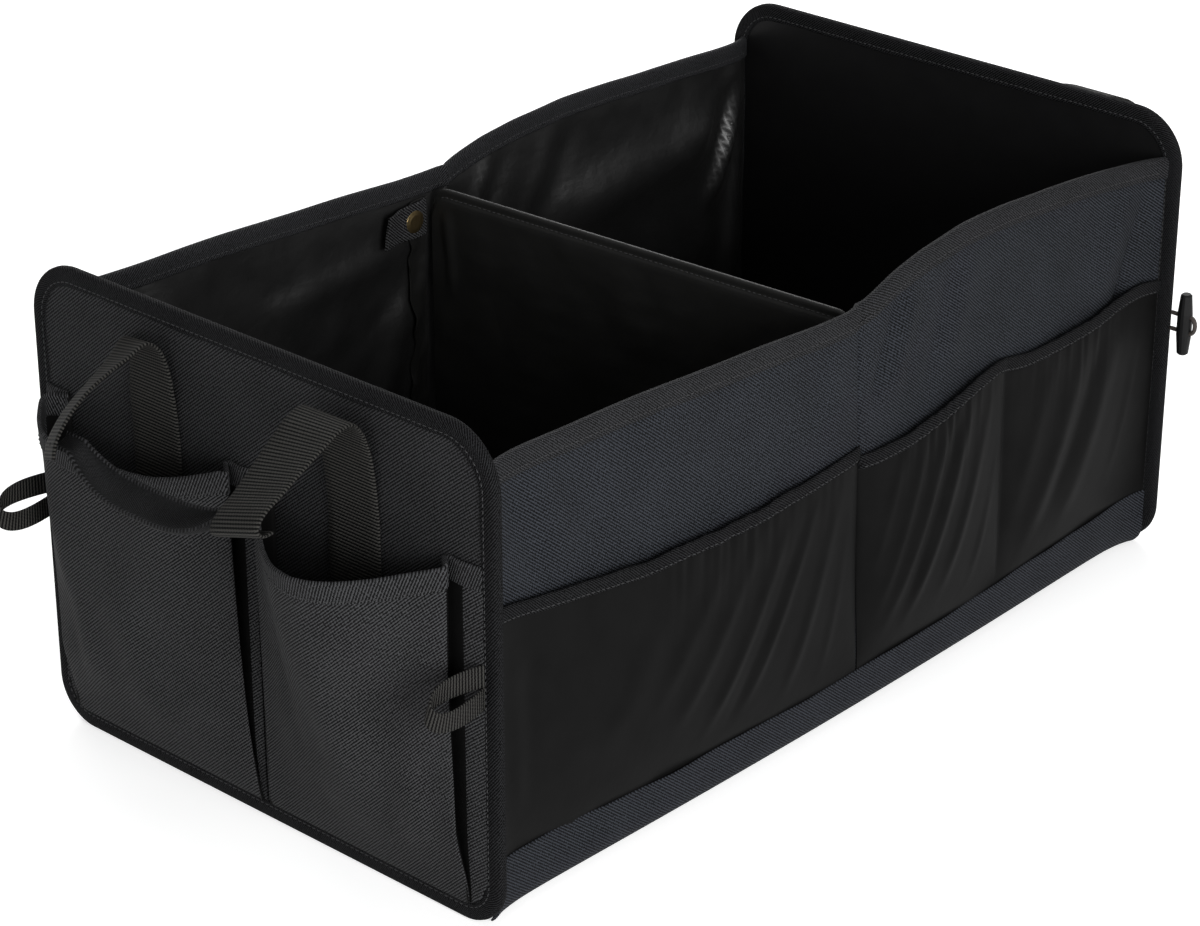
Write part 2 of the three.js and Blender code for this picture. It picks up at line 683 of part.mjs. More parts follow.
function direction(from, to) {
  return to.clone().sub(from).normalize();
}

// The pocket cloth in plan at one height: share grows from 0 at the foot to 1 at the mouth
function endPocketPlan(share) {
  const outerEdge = HALF_WIDTH - TAPE_WIDTH - GAP - 1;
  const innerEdge = END_POCKET_CENTRE_GAP / 2;
  const outerFold = outerEdge - END_POCKET_FLANGE - END_POCKET_GUSSET;
  const innerFold = innerEdge + END_POCKET_FLANGE;
  const lift = END_POCKET_EDGE_LIFT * share;
  const undercut = 2 * share;
  const front = steps(10).map((t) => {
    const swell = END_POCKET_BULGE * share * Math.sin(Math.PI * t) ** 0.75;
    return [lerp(outerFold + undercut, innerFold - undercut, t), lift + swell];
  });
  return [
    [outerEdge, 0], [outerEdge - END_POCKET_FLANGE, 0], [outerFold - undercut, 0.1 * lift], ...front,
    [innerFold + 2 * undercut, 0.1 * lift], [innerFold + 4 * share - 4, 0], [innerEdge, 0],
  ].map(([y, d]) => new THREE.Vector2(y, d));
}

// Height of the pocket's foot, which follows the binding round the panel's bottom corner
function endPocketFoot(y) {
  const radius = PANEL_BOTTOM_RADIUS - TAPE_WIDTH - GAP;
  const past = Math.max(0, y - HALF_WIDTH + PANEL_BOTTOM_RADIUS);
  return PANEL_BOTTOM_RADIUS + GAP - Math.sqrt(Math.max(0, radius ** 2 - past ** 2));
}

function endPocket(side) {
  const levels = [0, 0.12, 0.3, 0.5, 0.75, 1];
  const plans = levels.map((share) => endPocketPlan(share));
  const base = COVER_FACE + GAP;
  const surface = (distance) => plans.map((plan, k) => offsetPlan(plan, distance).map((p, i) => {
    const across = i / (plan.length - 1);
    const mouth = END_POCKET_MOUTH - END_POCKET_SAG * Math.sin(Math.PI * across) ** 1.2;
    const z = lerp(endPocketFoot(p.x), mouth, levels[k]);
    return new THREE.Vector3(-base - p.y, side * p.x, z);
  }));
  return sheet(surface(-TWILL), surface(0));
}

addMesh('near_pocket_left', endPocket(1), 'twill');
addMesh('near_pocket_right', endPocket(-1), 'twill');

// Carry handles

// The strap's middle line in side view, as [distance from the panel cover, height]
function strapLine() {
  const rest = GAP + WEBBING_THICKNESS / 2;
  const line = [
    [rest, STRAP_FOOT], [rest, STRAP_APEX - STRAP_BEND_START],
    [rest + 1.5, STRAP_APEX - 0.67 * STRAP_BEND_START], [rest + 5, STRAP_APEX - 0.33 * STRAP_BEND_START],
    [rest + 9, STRAP_APEX - 8], [rest + 15, STRAP_APEX], [rest + 22, STRAP_APEX - 1],
    [rest + 38, STRAP_APEX - 8.5], [rest + 56, STRAP_APEX - STRAP_SHOULDER_DROP],
    [STRAP_REACH - STRAP_CURL, STRAP_END_HEIGHT + STRAP_CURL_RISE],
    [STRAP_REACH - 5, STRAP_END_HEIGHT + 10], [STRAP_REACH, STRAP_END_HEIGHT],
    [STRAP_REACH - 4, STRAP_END_HEIGHT - 4], [STRAP_REACH - STRAP_CURL, STRAP_END_HEIGHT - 2.2],
  ];
  return line.map(([d, z]) => new THREE.Vector2(d, z));
}

function strap(end, y) {
  const line = strapLine();
  const outer = offsetPlan(line, WEBBING_THICKNESS / 2);
  const inner = offsetPlan(line, -WEBBING_THICKNESS / 2);
  const half = WEBBING_WIDTH / 2;
  const place = (p, across) => new THREE.Vector3(end * (COVER_FACE + p.x), y + across, p.y);
  const sections = line.map((_, k) => [
    place(outer[k], -half), place(outer[k], half), place(inner[k], half), place(inner[k], -half),
  ]);
  return loft(sections);
}

// The twill sleeve between the straps: a curled band that narrows where the straps close round it
function gripSurface(end, lift) {
  const half = GRIP_LENGTH / 2;
  return steps(10).map((s) => {
    const y = lerp(-half, half, s);
    const toEnd = Math.min(1, Math.abs(y) / GRIP_OPEN_HALF) ** 3;
    const chord = lerp(GRIP_CHORD, GRIP_END_CHORD, toEnd);
    const depth = lerp(GRIP_DEPTH, GRIP_END_DEPTH, toEnd);
    const droop = GRIP_DROOP * (1 - toEnd);
    const middle = STRAP_REACH - GRIP_SETBACK - GRIP_END_CHORD / 2;
    return steps(6).map((t) => {
      const angle = Math.PI * t;
      const out = middle - Math.cos(angle) * (chord / 2 - lift);
      const z = STRAP_END_HEIGHT + 3 - droop - Math.sin(angle) * (depth - lift);
      return new THREE.Vector3(end * (COVER_FACE + out), y, z);
    });
  });
}

function addHandle(label, end) {
  addMesh(`${label}_handle_left_strap`, strap(end, HANDLE_SPACING / 2), 'webbing');
  addMesh(`${label}_handle_right_strap`, strap(end, -HANDLE_SPACING / 2), 'webbing');
  addMesh(`${label}_handle_grip`, sheet(gripSurface(end, 0), gripSurface(end, GRIP_THICKNESS)), 'twill');
}

addHandle('near', -1);
addHandle('far', 1);

// Side loops on the near panel's binding

function sideLoop(side) {
  const y = side * (HALF_WIDTH - LOOP_INSET);
  const half = LOOP_WEBBING_THICKNESS / 2;
  const line = steps(16).map((t) => {
    const reach = LOOP_REACH * Math.sin(Math.PI * t) ** 0.8;
    const open = LOOP_OPENING / 2 * Math.cos(Math.PI * t) * Math.sin(Math.PI * t) ** 0.5;
    return { plan: new THREE.Vector2(HALF_LENGTH + GAP + reach, open), t };
  });
  const plan = line.map((point) => point.plan);
  const outer = offsetPlan(plan, half);
  const inner = offsetPlan(plan, -half);
  const sections = line.map(({ t }, k) => {
    const drop = lerp(LOOP_WEBBING_WIDTH / 2 + GAP, -LOOP_WEBBING_WIDTH / 2 - GAP, smooth(t, 0.15, 0.85));
    const centre = LOOP_HEIGHT + drop;
    const place = (p, rise) => new THREE.Vector3(-p.x, y + p.y, centre + rise);
    const rise = LOOP_WEBBING_WIDTH / 2;
    return [place(outer[k], -rise), place(outer[k], rise), place(inner[k], rise), place(inner[k], -rise)];
  });
  return loft(sections);
}

addMesh('near_loop_left', sideLoop(1), 'webbing');
addMesh('near_loop_right', sideLoop(-1), 'webbing');

// Toggles: a tapered bar on a cord that goes out through one hole and back through the other

const TOGGLE_X = HALF_LENGTH - PANEL_STACK / 2;
const CORD_START = HALF_WIDTH + GAP + CORD_DIAMETER / 2;
const TOGGLE_Y = CORD_START + TOGGLE_STANDOFF;

function toggleBar(side) {
  const half = TOGGLE_LENGTH / 2;
  const middle = TOGGLE_DIAMETER / 2;
  const tip = TOGGLE_END_DIAMETER / 2;
  const profile = [
    [0, -half], [tip - 1, -half], [tip, -half + 1], [middle, -half * 0.35], [middle, half * 0.35],
    [tip, half - 1], [tip - 1, half], [0, half],
  ].map(([r, h]) => new THREE.Vector2(r, h));
  const bar = new THREE.LatheGeometry(profile, 16);
  bar.rotateX(Math.PI / 2);
  let solid = manifoldOf(bar);
  [-1, 1].forEach((step) => {
    const radius = CORD_DIAMETER / 2 + CORD_HOLE_CLEARANCE;
    const hole = new THREE.CylinderGeometry(radius, radius, TOGGLE_DIAMETER * 2, 12);
    hole.translate(0, 0, step * CORD_SPACING / 2);
    solid = solid.subtract(manifoldOf(hole));
  });
  const geometry = geometryOf(solid);
  geometry.translate(TOGGLE_X, side * TOGGLE_Y, TOGGLE_HEIGHT);
  return geometry;
}

function toggleCord(side) {
  const radius = CORD_DIAMETER / 2;
  const bend = CORD_SPACING / 2;
  const outside = TOGGLE_STANDOFF + TOGGLE_DIAMETER / 2 - 0.4;
  const leg = [[-1.3, 0.5], [-0.9, 0.8], [0, 1], [outside, 1]];
  const turn = steps(8).slice(1, -1).map((t) => t * Math.PI);
  const point = (out, height, tangentAngle, scale) => {
    const along = { out: Math.cos(tangentAngle), z: Math.sin(tangentAngle) };
    return steps(7).map((k) => {
      const angle = k * 7 / 8 * 2 * Math.PI;
      const sideways = radius * scale * Math.cos(angle);
      const normal = radius * scale * Math.sin(angle);
      return new THREE.Vector3(
        TOGGLE_X + sideways,
        side * (CORD_START + out - normal * along.z),
        TOGGLE_HEIGHT + height + normal * along.out);
    });
  };
  const bightDepth = 0.62 * bend;
  const sections = [
    ...leg.map(([out, scale]) => point(out, -bend, 0, scale)),
    ...turn.map((a) => point(outside + bightDepth * Math.sin(a), -bend * Math.cos(a), a, 1)),
    ...leg.slice().reverse().map(([out, scale]) => point(out, bend, Math.PI, scale)),
  ];
  return loft(sections);
}

function addToggle(label, side) {
  addMesh(`${label}_toggle`, toggleBar(side), 'plastic');
  addMesh(`${label}_toggle_cord`, toggleCord(side), 'cord');
}

addToggle('front', -1);
addToggle('rear', 1);

export default organizer;
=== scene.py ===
import math

import bpy
import numpy as np
from mathutils import Matrix, Vector


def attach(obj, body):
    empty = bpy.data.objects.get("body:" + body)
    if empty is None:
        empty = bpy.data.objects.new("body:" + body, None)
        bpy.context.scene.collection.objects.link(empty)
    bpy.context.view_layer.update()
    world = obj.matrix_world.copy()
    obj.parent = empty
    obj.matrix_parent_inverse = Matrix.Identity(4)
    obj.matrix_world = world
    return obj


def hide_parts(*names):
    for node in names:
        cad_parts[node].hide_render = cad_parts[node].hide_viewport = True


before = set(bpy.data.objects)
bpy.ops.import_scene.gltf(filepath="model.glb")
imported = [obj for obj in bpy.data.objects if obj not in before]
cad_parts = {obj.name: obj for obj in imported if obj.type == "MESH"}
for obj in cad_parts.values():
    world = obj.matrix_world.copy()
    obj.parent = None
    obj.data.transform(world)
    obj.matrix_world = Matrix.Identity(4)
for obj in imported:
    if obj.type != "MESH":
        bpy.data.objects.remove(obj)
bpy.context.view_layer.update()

MM = 0.001

# Main sizes of the organizer, in millimetres
HALF_LENGTH = 317.0
HALF_WIDTH = 184.0
PANEL_HEIGHT = 302.0
PANEL_TOP_RADIUS = 36.0
PANEL_BOTTOM_RADIUS = 28.0
PANEL_THICKNESS = 6.6
COVER_FACE = 316.1
WALL_END = 310.1
WALL_OFFSET = 168.5
WALL_FOOT_RADIUS = 14.0
SEAM_X = 6.0
BASE_SEAM = 156.3
BOARD_EDGE = 162.2
FLOOR_TOP = 4.85
TWILL = 1.1
LINING = 0.6
LINING_OUTER_FACE = 1.35
LINING_INNER_FACE = 1.95
NYLON = 0.7
POCKET_BACK = 1.2
BAND_BACK = 2.5
SNAP_HEIGHT = 239.5
SNAP_TAB_LENGTH = 42.0
STRAP_WIDTH = 38.0
LOOP_WIDTH = 12.7
STITCH_LENGTH = 2.6
STITCH_PITCH = 3.9
STITCH_RADIUS = 0.33
STITCH_INSET = 8.6

# Which way each long wall and each end panel lies
SIDES = (("front", -1), ("rear", 1))
ENDS = (("near", -1), ("far", 1))


# Shader nodes


class Graph:
    """A node tree, with short ways to add the kinds of node that are used here."""

    def __init__(self, tree):
        self.nodes = tree.nodes
        self.links = tree.links

    def feed(self, socket, value):
        """Sets a socket to a constant, or links it to another node's output."""
        if isinstance(value, bpy.types.NodeSocket):
            self.links.new(value, socket)
        else:
            socket.default_value = value

    def setup(self, node, values):
        """Feeds a node's inputs, given by their names or numbers."""
        for key, value in values.items():
            self.feed(node.inputs[key], value)
        return node

    def add(self, kind, values):
        return self.setup(self.nodes.new(kind), values)

    def math(self, operation, a, b=0.0):
        node = self.nodes.new("ShaderNodeMath")
        node.operation = operation
        return self.setup(node, {0: a, 1: b}).outputs[0]

    def mix(self, a, share_a, b, share_b):
        """a * share_a + b * share_b."""
        return self.math("ADD", self.math("MULTIPLY", a, share_a), self.math("MULTIPLY", b, share_b))

    def background_share(self):
        """1 for camera, glossy and transmission rays, 0 for the rays that carry light."""
        path = self.nodes.new("ShaderNodeLightPath").outputs
        seen = self.math("MAXIMUM", path["Is Camera Ray"], path["Is Glossy Ray"])
        return self.math("MAXIMUM", seen, path["Is Transmission Ray"])


# Camera and light


def add_camera():
    """A camera at the photograph's place: 48 degrees round from the front and 26 degrees up."""
    azimuth, elevation = math.radians(-47.99), math.radians(25.87)
    camera = bpy.data.objects.new("camera", bpy.data.cameras.new("camera"))
    camera.data.sensor_width = 36
    camera.data.lens = 106.44
    camera.data.clip_end = 20
    back = Vector((
        math.sin(azimuth) * math.cos(elevation),
        -math.cos(azimuth) * math.cos(elevation),
        math.sin(elevation),
    ))
    camera.matrix_world = Matrix.Translation(Vector((-1.4946, -1.3176, 1.0803))) @ (
        back.to_track_quat("Z", "Y").to_matrix().to_4x4()
    )
    bpy.context.scene.collection.objects.link(camera)
    bpy.context.scene.camera = camera


def add_softbox(name, place, target, size, power):
    light = bpy.data.lights.new(name, "AREA")
    light.shape = "RECTANGLE"
    light.size, light.size_y = size
    light.energy = power
    lamp = bpy.data.objects.new(name, light)
    lamp.location = place
    lamp.rotation_euler = (Vector(target) - Vector(place)).to_track_quat("-Z", "Y").to_euler()
    bpy.context.scene.collection.objects.link(lamp)


def light_world():
    """White where the camera or a mirror looks at it, and a plain grey fill for the light it sends."""
    world = bpy.data.worlds.new("studio")
    world.use_nodes = True
    graph = Graph(world.node_tree)
    graph.nodes.clear()
    white = (1, 1, 1, 1)
    lit = graph.add("ShaderNodeBackground", {"Color": white, "Strength": 0.27})
    seen = graph.add("ShaderNodeBackground", {"Color": white, "Strength": 1})
    share = graph.background_share()
    mix = graph.add("ShaderNodeMixShader", {"Fac": share, 1: lit.outputs[0], 2: seen.outputs[0]})
    graph.add("ShaderNodeOutputWorld", {"Surface": mix.outputs[0]})
    bpy.context.scene.world = world


def floor_material():
    """Pale, and lit a little more far from the organizer, where the camera sees it as background."""
    material = bpy.data.materials.new("floor")
    material.use_nodes = True
    graph = Graph(material.node_tree)
    place = graph.nodes.new("ShaderNodeTexCoord")
    away = graph.nodes.new("ShaderNodeVectorMath")
    away.operation = "LENGTH"
    graph.feed(away.inputs[0], place.outputs["Object"])
    glow = graph.add("ShaderNodeMapRange", {
        "Value": away.outputs["Value"],
        "From Min": 0.7,
        "From Max": 2.6,
        "To Min": 0.5,
        "To Max": 0.8,
    })
    graph.setup(graph.nodes["Principled BSDF"], {
        "Base Color": (0.82, 0.82, 0.82, 1),
        "Roughness": 0.9,
        "Specular IOR Level": 0.0,
        "Emission Color": (1, 1, 1, 1),
        "Emission Strength": graph.math("MULTIPLY", graph.background_share(), glow.outputs["Result"]),
    })
    return material


def add_floor():
    """A pale floor, near white to the camera, that still takes the organizer's shadow."""
    half = 6.0
    corners = [(-half, -half, 0), (half, -half, 0), (half, half, 0), (-half, half, 0)]
    mesh = bpy.data.meshes.new("floor")
    mesh.from_pydata(corners, [], [(0, 1, 2, 3)])
    mesh.materials.append(floor_material())
    floor = bpy.data.objects.new("floor", mesh)
    floor.location.z = -0.0006
    bpy.context.scene.collection.objects.link(floor)


# Materials


class Paint(Graph):
    """A material with u and v in millimetres over it, from its UV map or from a plane of the object."""

    def __init__(self, name, color, roughness, specular=0.5, metallic=0.0, plane=None):
        self.material = bpy.data.materials.new(name)
        self.material.use_nodes = True
        super().__init__(self.material.node_tree)
        self.shader = self.setup(self.nodes["Principled BSDF"], {
            "Base Color": (*color, 1),
            "Roughness": roughness,
            "Specular IOR Level": specular,
            "Metallic": metallic,
        })
        source = self.nodes.new("ShaderNodeTexCoord").outputs["Object" if plane else "UV"]
        split = self.add("ShaderNodeSeparateXYZ", {0: source}).outputs
        self.u, self.v = (self.math("MULTIPLY", split[axis], 1000.0) for axis in plane or ("X", "Y"))

    def wave(self, a, b, pitch):
        """A sine that runs along a*u + b*v with a pitch in millimetres."""
        return self.math("SINE", self.math("MULTIPLY", self.mix(self.u, a, self.v, b), 2 * math.pi / pitch))

    def cloud(self, scale, detail=3.0):
        """Soft noise over the cloth, with its scale in cycles per millimetre."""
        place = self.add("ShaderNodeCombineXYZ", {"X": self.u, "Y": self.v}).outputs[0]
        noise = self.add("ShaderNodeTexNoise", {"Vector": place, "Scale": scale, "Detail": detail})
        return noise.outputs["Fac"]

    def color(self, factor, dark, light, low=0.0, high=1.0):
        """Colours the material from dark to light while the factor rises from low to high."""
        ramp = self.add("ShaderNodeValToRGB", {"Fac": factor})
        for stop, place, tone in zip(ramp.color_ramp.elements, (low, high), (dark, light)):
            stop.position = place
            stop.color = (*tone, 1)
        self.feed(self.shader.inputs["Base Color"], ramp.outputs["Color"])

    def bump(self, height, distance_mm, strength=1.0):
        node = self.add("ShaderNodeBump", {
            "Height": height,
            "Distance": distance_mm * MM,
            "Strength": strength,
        })
        self.feed(self.shader.inputs["Normal"], node.outputs["Normal"])


def twill_material(name, dark, light, plane=None, pitch=1.6, specular=0.12):
    """Heavy polyester twill: slanting ribs cut into short floats, a little uneven in colour. Its colour
    follows the ribs' height: painted shade in the grooves and painted light on the ribs.
    """
    paint = Paint(name, light, 0.85, specular, plane=plane)
    rib = paint.wave(0.63, 0.77, pitch)
    floats = paint.wave(0.95, -0.3, pitch * 1.25)
    height = paint.math("ADD", paint.mix(rib, 0.36, floats, 0.14), 0.5)
    slub = paint.math("SUBTRACT", paint.cloud(0.6, 2.0), 0.5)
    patch = paint.math("SUBTRACT", paint.cloud(0.03), 0.5)
    # The ribs' height in the colour is painted shade in the grooves and painted light on the ribs; the slubs
    # and patches are the cloth's own uneven tone.
    tone = paint.math("ADD", height, paint.mix(slub, 1.3, patch, 0.35))
    paint.color(tone, dark, light, 0.43, 0.61)
    paint.bump(height, 0.55)
    return paint.material


def smooth_cloth_material(name, dark, light, roughness, crease, specular, plane=None):
    """Thin coated cloth: a fine plain weave, small random creases and a soft sheen. Its colour follows the
    creases' height: painted shade in their hollows and painted light on their tops.
    """
    paint = Paint(name, light, roughness, specular, plane=plane)
    grain = paint.cloud(1.1, 2.0)
    crumple = paint.cloud(0.045, 4.0)
    # Painted shade in the crease hollows and painted light on their tops.
    paint.color(crumple, dark, light)
    paint.bump(paint.mix(grain, 0.06, crumple, 1.0), 2.0 * crease, 0.6)
    return paint.material


def webbing_material(name, dark, light, pitch=2.1):
    """Flat webbing: round ribs across its length, with gaps set like bricks between the threads. Its colour
    follows that height: painted shade in the gaps and painted light on the ribs.
    """
    paint = Paint(name, light, 0.8, 0.08)
    rib = paint.wave(1.0, 0.0, pitch)
    brick = paint.wave(0.5 / pitch, 0.45, 1.0)
    height = paint.math("ADD", paint.mix(rib, 0.38, brick, 0.12), 0.5)
    # Painted shade between the threads and painted light on the ribs' tops.
    paint.color(height, dark, light, 0.4, 0.62)
    paint.bump(height, 0.5)
    return paint.material


def brass_material():
    paint = Paint("brass", (0.36, 0.26, 0.12), 0.34, metallic=1.0, plane=("X", "Z"))
    worn = paint.cloud(0.35, 4.0)
    paint.color(worn, (0.20, 0.14, 0.06), (0.45, 0.34, 0.17))
    paint.bump(worn, 0.08, 0.4)
    return paint.material


def plastic_material():
    paint = Paint("toggle_plastic", (0.003, 0.003, 0.0032), 0.45, 0.14, plane=("X", "Z"))
    paint.bump(paint.cloud(1.6), 0.06, 0.5)
    return paint.material


def cord_material():
    """A round braid: two sets of strands that cross, with painted shade between the strands and painted light
    on their tops.
    """
    paint = Paint("cord_braid", (0.02, 0.014, 0.01), 0.7)
    weave = paint.math("MAXIMUM", paint.wave(1.0, 0.8, 1.3), paint.wave(1.0, -0.8, 1.3))
    height = paint.math("ADD", paint.math("MULTIPLY", weave, 0.5), 0.5)
    # Painted shade between the strands and painted light on their tops.
    paint.color(height, (0.004, 0.003, 0.003), (0.028, 0.019, 0.014))
    paint.bump(height, 0.3)
    return paint.material


def board_material():
    paint = Paint("stiff_board", (0.1, 0.08, 0.06), 0.8, plane=("Y", "Z"))
    fibre = paint.cloud(0.5, 5.0)
    paint.color(fibre, (0.08, 0.065, 0.045), (0.16, 0.13, 0.1))
    paint.bump(fibre, 0.1, 0.5)
    return paint.material


def thread_material():
    paint = Paint("thread", (0.024, 0.024, 0.025), 0.6, 0.2)
    ply = paint.wave(1.0, 1.0, 0.5)
    paint.bump(paint.math("ADD", paint.math("MULTIPLY", ply, 0.5), 0.5), 0.05, 0.5)
    return paint.material


# Ends of the twill colour: the dark end is painted shade in the weave's grooves, the light end painted light
# on its ribs; the slubs and patches vary the tone between them.
PANEL_DARK, PANEL_LIGHT = (0.0006, 0.0006, 0.0007), (0.030, 0.0304, 0.0324)
WALL_DARK, WALL_LIGHT = (0.001, 0.0012, 0.0018), (0.0245, 0.0272, 0.0333)

MATERIALS = {
    "panel": twill_material("panel_twill", PANEL_DARK, PANEL_LIGHT, plane=("Y", "Z")),
    # A darker copy of the panel twill for the grip: painted shade from the straps over it.
    "grip": twill_material("shaded_grip_twill", PANEL_DARK, (0.02, 0.0203, 0.0215)),
    # A lighter copy of the panel twill for the end pockets, their hems and the snap tab: painted light for
    # the bounce from the floor.
    "lit_panel_uv": twill_material("lit_pocket_twill", PANEL_DARK, (0.038, 0.0385, 0.0405)),
    "wall": twill_material("wall_twill", WALL_DARK, WALL_LIGHT),
    "lining": smooth_cloth_material("lining_cloth", (0.0035, 0.0035, 0.0035), (0.011, 0.011, 0.011), 0.38,
                                    crease=1.1, specular=0.45),
    "panel_lining": smooth_cloth_material("panel_lining_cloth", (0.0016, 0.0016, 0.0017),
                                          (0.0035, 0.0035, 0.0037), 0.5, crease=0.4, specular=0.12,
                                          plane=("Y", "Z")),
    "divider": smooth_cloth_material("divider_cloth", (0.004, 0.004, 0.0038), (0.009, 0.009, 0.0086), 0.6,
                                     crease=0.7, specular=0.12),
    "nylon": smooth_cloth_material("nylon_cloth", (0.0024, 0.0024, 0.0024), (0.0052, 0.0052, 0.0052), 0.46,
                                   crease=0.3, specular=0.025),
    "hem": twill_material("hem_tape", PANEL_DARK, (0.0245, 0.025, 0.0275), pitch=1.4),
    "tape": twill_material("binding_tape", (0.0006, 0.0006, 0.0007), (0.014, 0.0142, 0.0152), pitch=1.4,
                           specular=0.05),
    "webbing": webbing_material("webbing_weave", (0.0004, 0.0004, 0.0004), (0.031, 0.0303, 0.028)),
    "thread": thread_material(),
    "brass": brass_material(),
    "plastic": plastic_material(),
    "cord": cord_material(),
    "board": board_material(),
}


# Mesh building


def add_piece(name, mesh, material, stands_for=()):
    mesh.materials.append(MATERIALS[material])
    piece = bpy.data.objects.new(name, mesh)
    bpy.context.scene.collection.objects.link(piece)
    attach(piece, "organizer")
    if stands_for:
        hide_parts(*stands_for)
    return piece


def arc_lengths(points):
    """Distance of each point from the first one, measured along the line."""
    steps = np.linalg.norm(np.diff(np.asarray(points, float), axis=0), axis=1)
    return np.concatenate([[0], np.cumsum(steps)])


def sample(where, knots, values):
    """Each column of values, interpolated between the knots."""
    return np.stack([np.interp(where, knots, column) for column in np.transpose(values)], axis=1)


def spread(values, count):
    """A grid with the values in each of its columns."""
    return np.repeat(values[:, None], count, axis=1)


def flat_map(u, v):
    return np.stack(np.broadcast_arrays(u, v), axis=-1)


def on_side(side, x, y, z):
    """Points at a distance y from the middle plane, at the front (side -1) or the rear (side 1)."""
    return np.stack(np.broadcast_arrays(x, side * y, z), axis=-1)


def loft(name, rings, uv, closed=False):
    """A closed mesh through rings[i][k] of points in millimetres; uv has one more column than the rings."""
    rings = np.asarray(rings, float)
    count, size = rings.shape[:2]
    faces, loops = [], []
    for i in range(count if closed else count - 1):
        j = (i + 1) % count
        for k in range(size):
            m = (k + 1) % size
            faces.append((i * size + k, j * size + k, j * size + m, i * size + m))
            loops.extend((uv[i][k], uv[i + 1][k], uv[i + 1][k + 1], uv[i][k + 1]))
    mesh = bpy.data.meshes.new(name)
    if not closed:
        half = size // 2
        for i, flip in ((0, False), (count - 1, True)):
            for k in range(half - 1 + size % 2):
                a, b, c, d = k, k + 1, size - 2 - k, size - 1 - k
                corners = [a, b, c, d] if c > b else [a, b, d]
                corners = corners[::-1] if flip else corners
                faces.append(tuple(i * size + p for p in corners))
                loops.extend(uv[i][p] for p in corners)
    mesh.from_pydata((rings.reshape(-1, 3) * MM).tolist(), [], faces)
    layer = mesh.uv_layers.new(name="UVMap")
    layer.data.foreach_set("uv", (np.asarray(loops, float) * MM).ravel())
    orient_outward(mesh)
    mesh.shade_smooth()
    if not closed:
        last = (count - 1) * size
        for edge in mesh.edges:
            a, b = edge.vertices
            edge.use_edge_sharp = (a < size and b < size) or (a >= last and b >= last)
    return mesh


def orient_outward(mesh):
    """Turns all the faces round where the mesh's signed volume shows that they point inward."""
    co = np.empty(len(mesh.vertices) * 3)
    mesh.vertices.foreach_get("co", co)
    co = co.reshape(-1, 3)
    mesh.calc_loop_triangles()
    tri = np.empty(len(mesh.loop_triangles) * 3, int)
    mesh.loop_triangles.foreach_get("vertices", tri)
    a, b, c = (co[tri.reshape(-1, 3)[:, k]] for k in range(3))
    if np.einsum("ij,ij->i", a, np.cross(b, c)).sum() < 0:
        mesh.flip_normals()


def surface_normals(grid):
    across = np.gradient(grid, axis=0)
    along = np.gradient(grid, axis=1)
    normal = np.cross(across, along)
    return normal / np.maximum(np.linalg.norm(normal, axis=2, keepdims=True), 1e-9)


def cloth(name, grid, uv, thickness, outward):
    """A cloth of even thickness behind the grid of points, with rounded long edges."""
    grid = np.asarray(grid, float)
    normal = surface_normals(grid)
    if (normal * np.asarray(outward, float)).sum() < 0:
        normal = -normal
    back = grid - normal * thickness
    edge = thickness * 0.45

    def rim(column, inner):
        out = grid[:, column] - grid[:, inner]
        out /= np.maximum(np.linalg.norm(out, axis=1, keepdims=True), 1e-9)
        return ((grid[:, column] + back[:, column]) / 2 + out * edge)[:, None]

    rings = np.concatenate([grid, rim(-1, -2), back[:, ::-1], rim(0, 1)], axis=1)
    uv = np.asarray(uv, float)
    columns = np.concatenate([uv, uv[:, -1:], uv[:, ::-1], uv[:, :1], uv[:, :1]], axis=1)
    return loft(name, rings, columns)


def add_sheet(name, grid, uv, thickness, outward, material, stands_for):
    """A cloth built from its own grid of points, in place of the part that it stands for."""
    mesh = cloth(name, grid, uv, thickness, outward)
    piece = add_piece(name, mesh, material, stands_for=[stands_for])


def add_tape(name, rings, along, profile, material, stands_for, closed=False):
    """A folded tape, with one line of points along it for each point of its profile."""
    across = arc_lengths(profile + profile[:1])
    mesh = loft(name, np.stack(rings, axis=1), flat_map(along[:, None], across), closed=closed)
    return add_piece(name, mesh, material, stands_for=[stands_for])


def lerp(a, b, t):
    return a + (b - a) * t


def smoothstep(value, low, high):
    t = np.clip((value - low) / (high - low), 0, 1)
    return t * t * (3 - 2 * t)


def ridge(x, z, start, end, width, height, taper=0.25):
    """Height of one soft fold that runs from start to end, fading out at both."""
    sx, sz = start
    dx, dz = end[0] - sx, end[1] - sz
    length = math.hypot(dx, dz)
    along = ((x - sx) * dx + (z - sz) * dz) / length ** 2
    across = ((x - sx) * dz - (z - sz) * dx) / length
    fade = smoothstep(along, -0.05, taper) * (1 - smoothstep(along, 1 - taper, 1.05))
    return height * fade * np.exp(-(across / width) ** 2)


def with_folds(height, x, z, folds):
    """The height of a cloth with its single folds added, each as (start, end, width, height)."""
    for fold in folds:
        height = height + ridge(x, z, *fold)
    return height


def ripple(x, z, seed, scale, height):
    """Slow uneven waves over a cloth."""
    rng = np.random.default_rng(seed)
    total = np.zeros_like(x)
    for _ in range(7):
        angle, phase = rng.uniform(0, 2 * math.pi, 2)
        pitch = scale * rng.uniform(0.6, 1.7)
        total += np.sin((x * math.cos(angle) + z * math.sin(angle)) * 2 * math.pi / pitch + phase)
    return total * height / 7 ** 0.5


# Stitching


def stitch_line(points, normals):
    """Short raised threads along a line; normals is one for all the points or one for each."""
    points = np.asarray(points, float)
    normals = np.broadcast_to(np.asarray(normals, float), points.shape)
    arc = arc_lengths(points)
    knots = np.array([0, 0.25, 0.5, 0.75, 1.0]) * STITCH_LENGTH / STITCH_PITCH
    stitches = []
    for k in range(int(arc[-1] / STITCH_PITCH)):
        where = (k + knots) * STITCH_PITCH
        stitches.append((sample(where, arc, points), sample(where, arc, normals)))
    return stitches


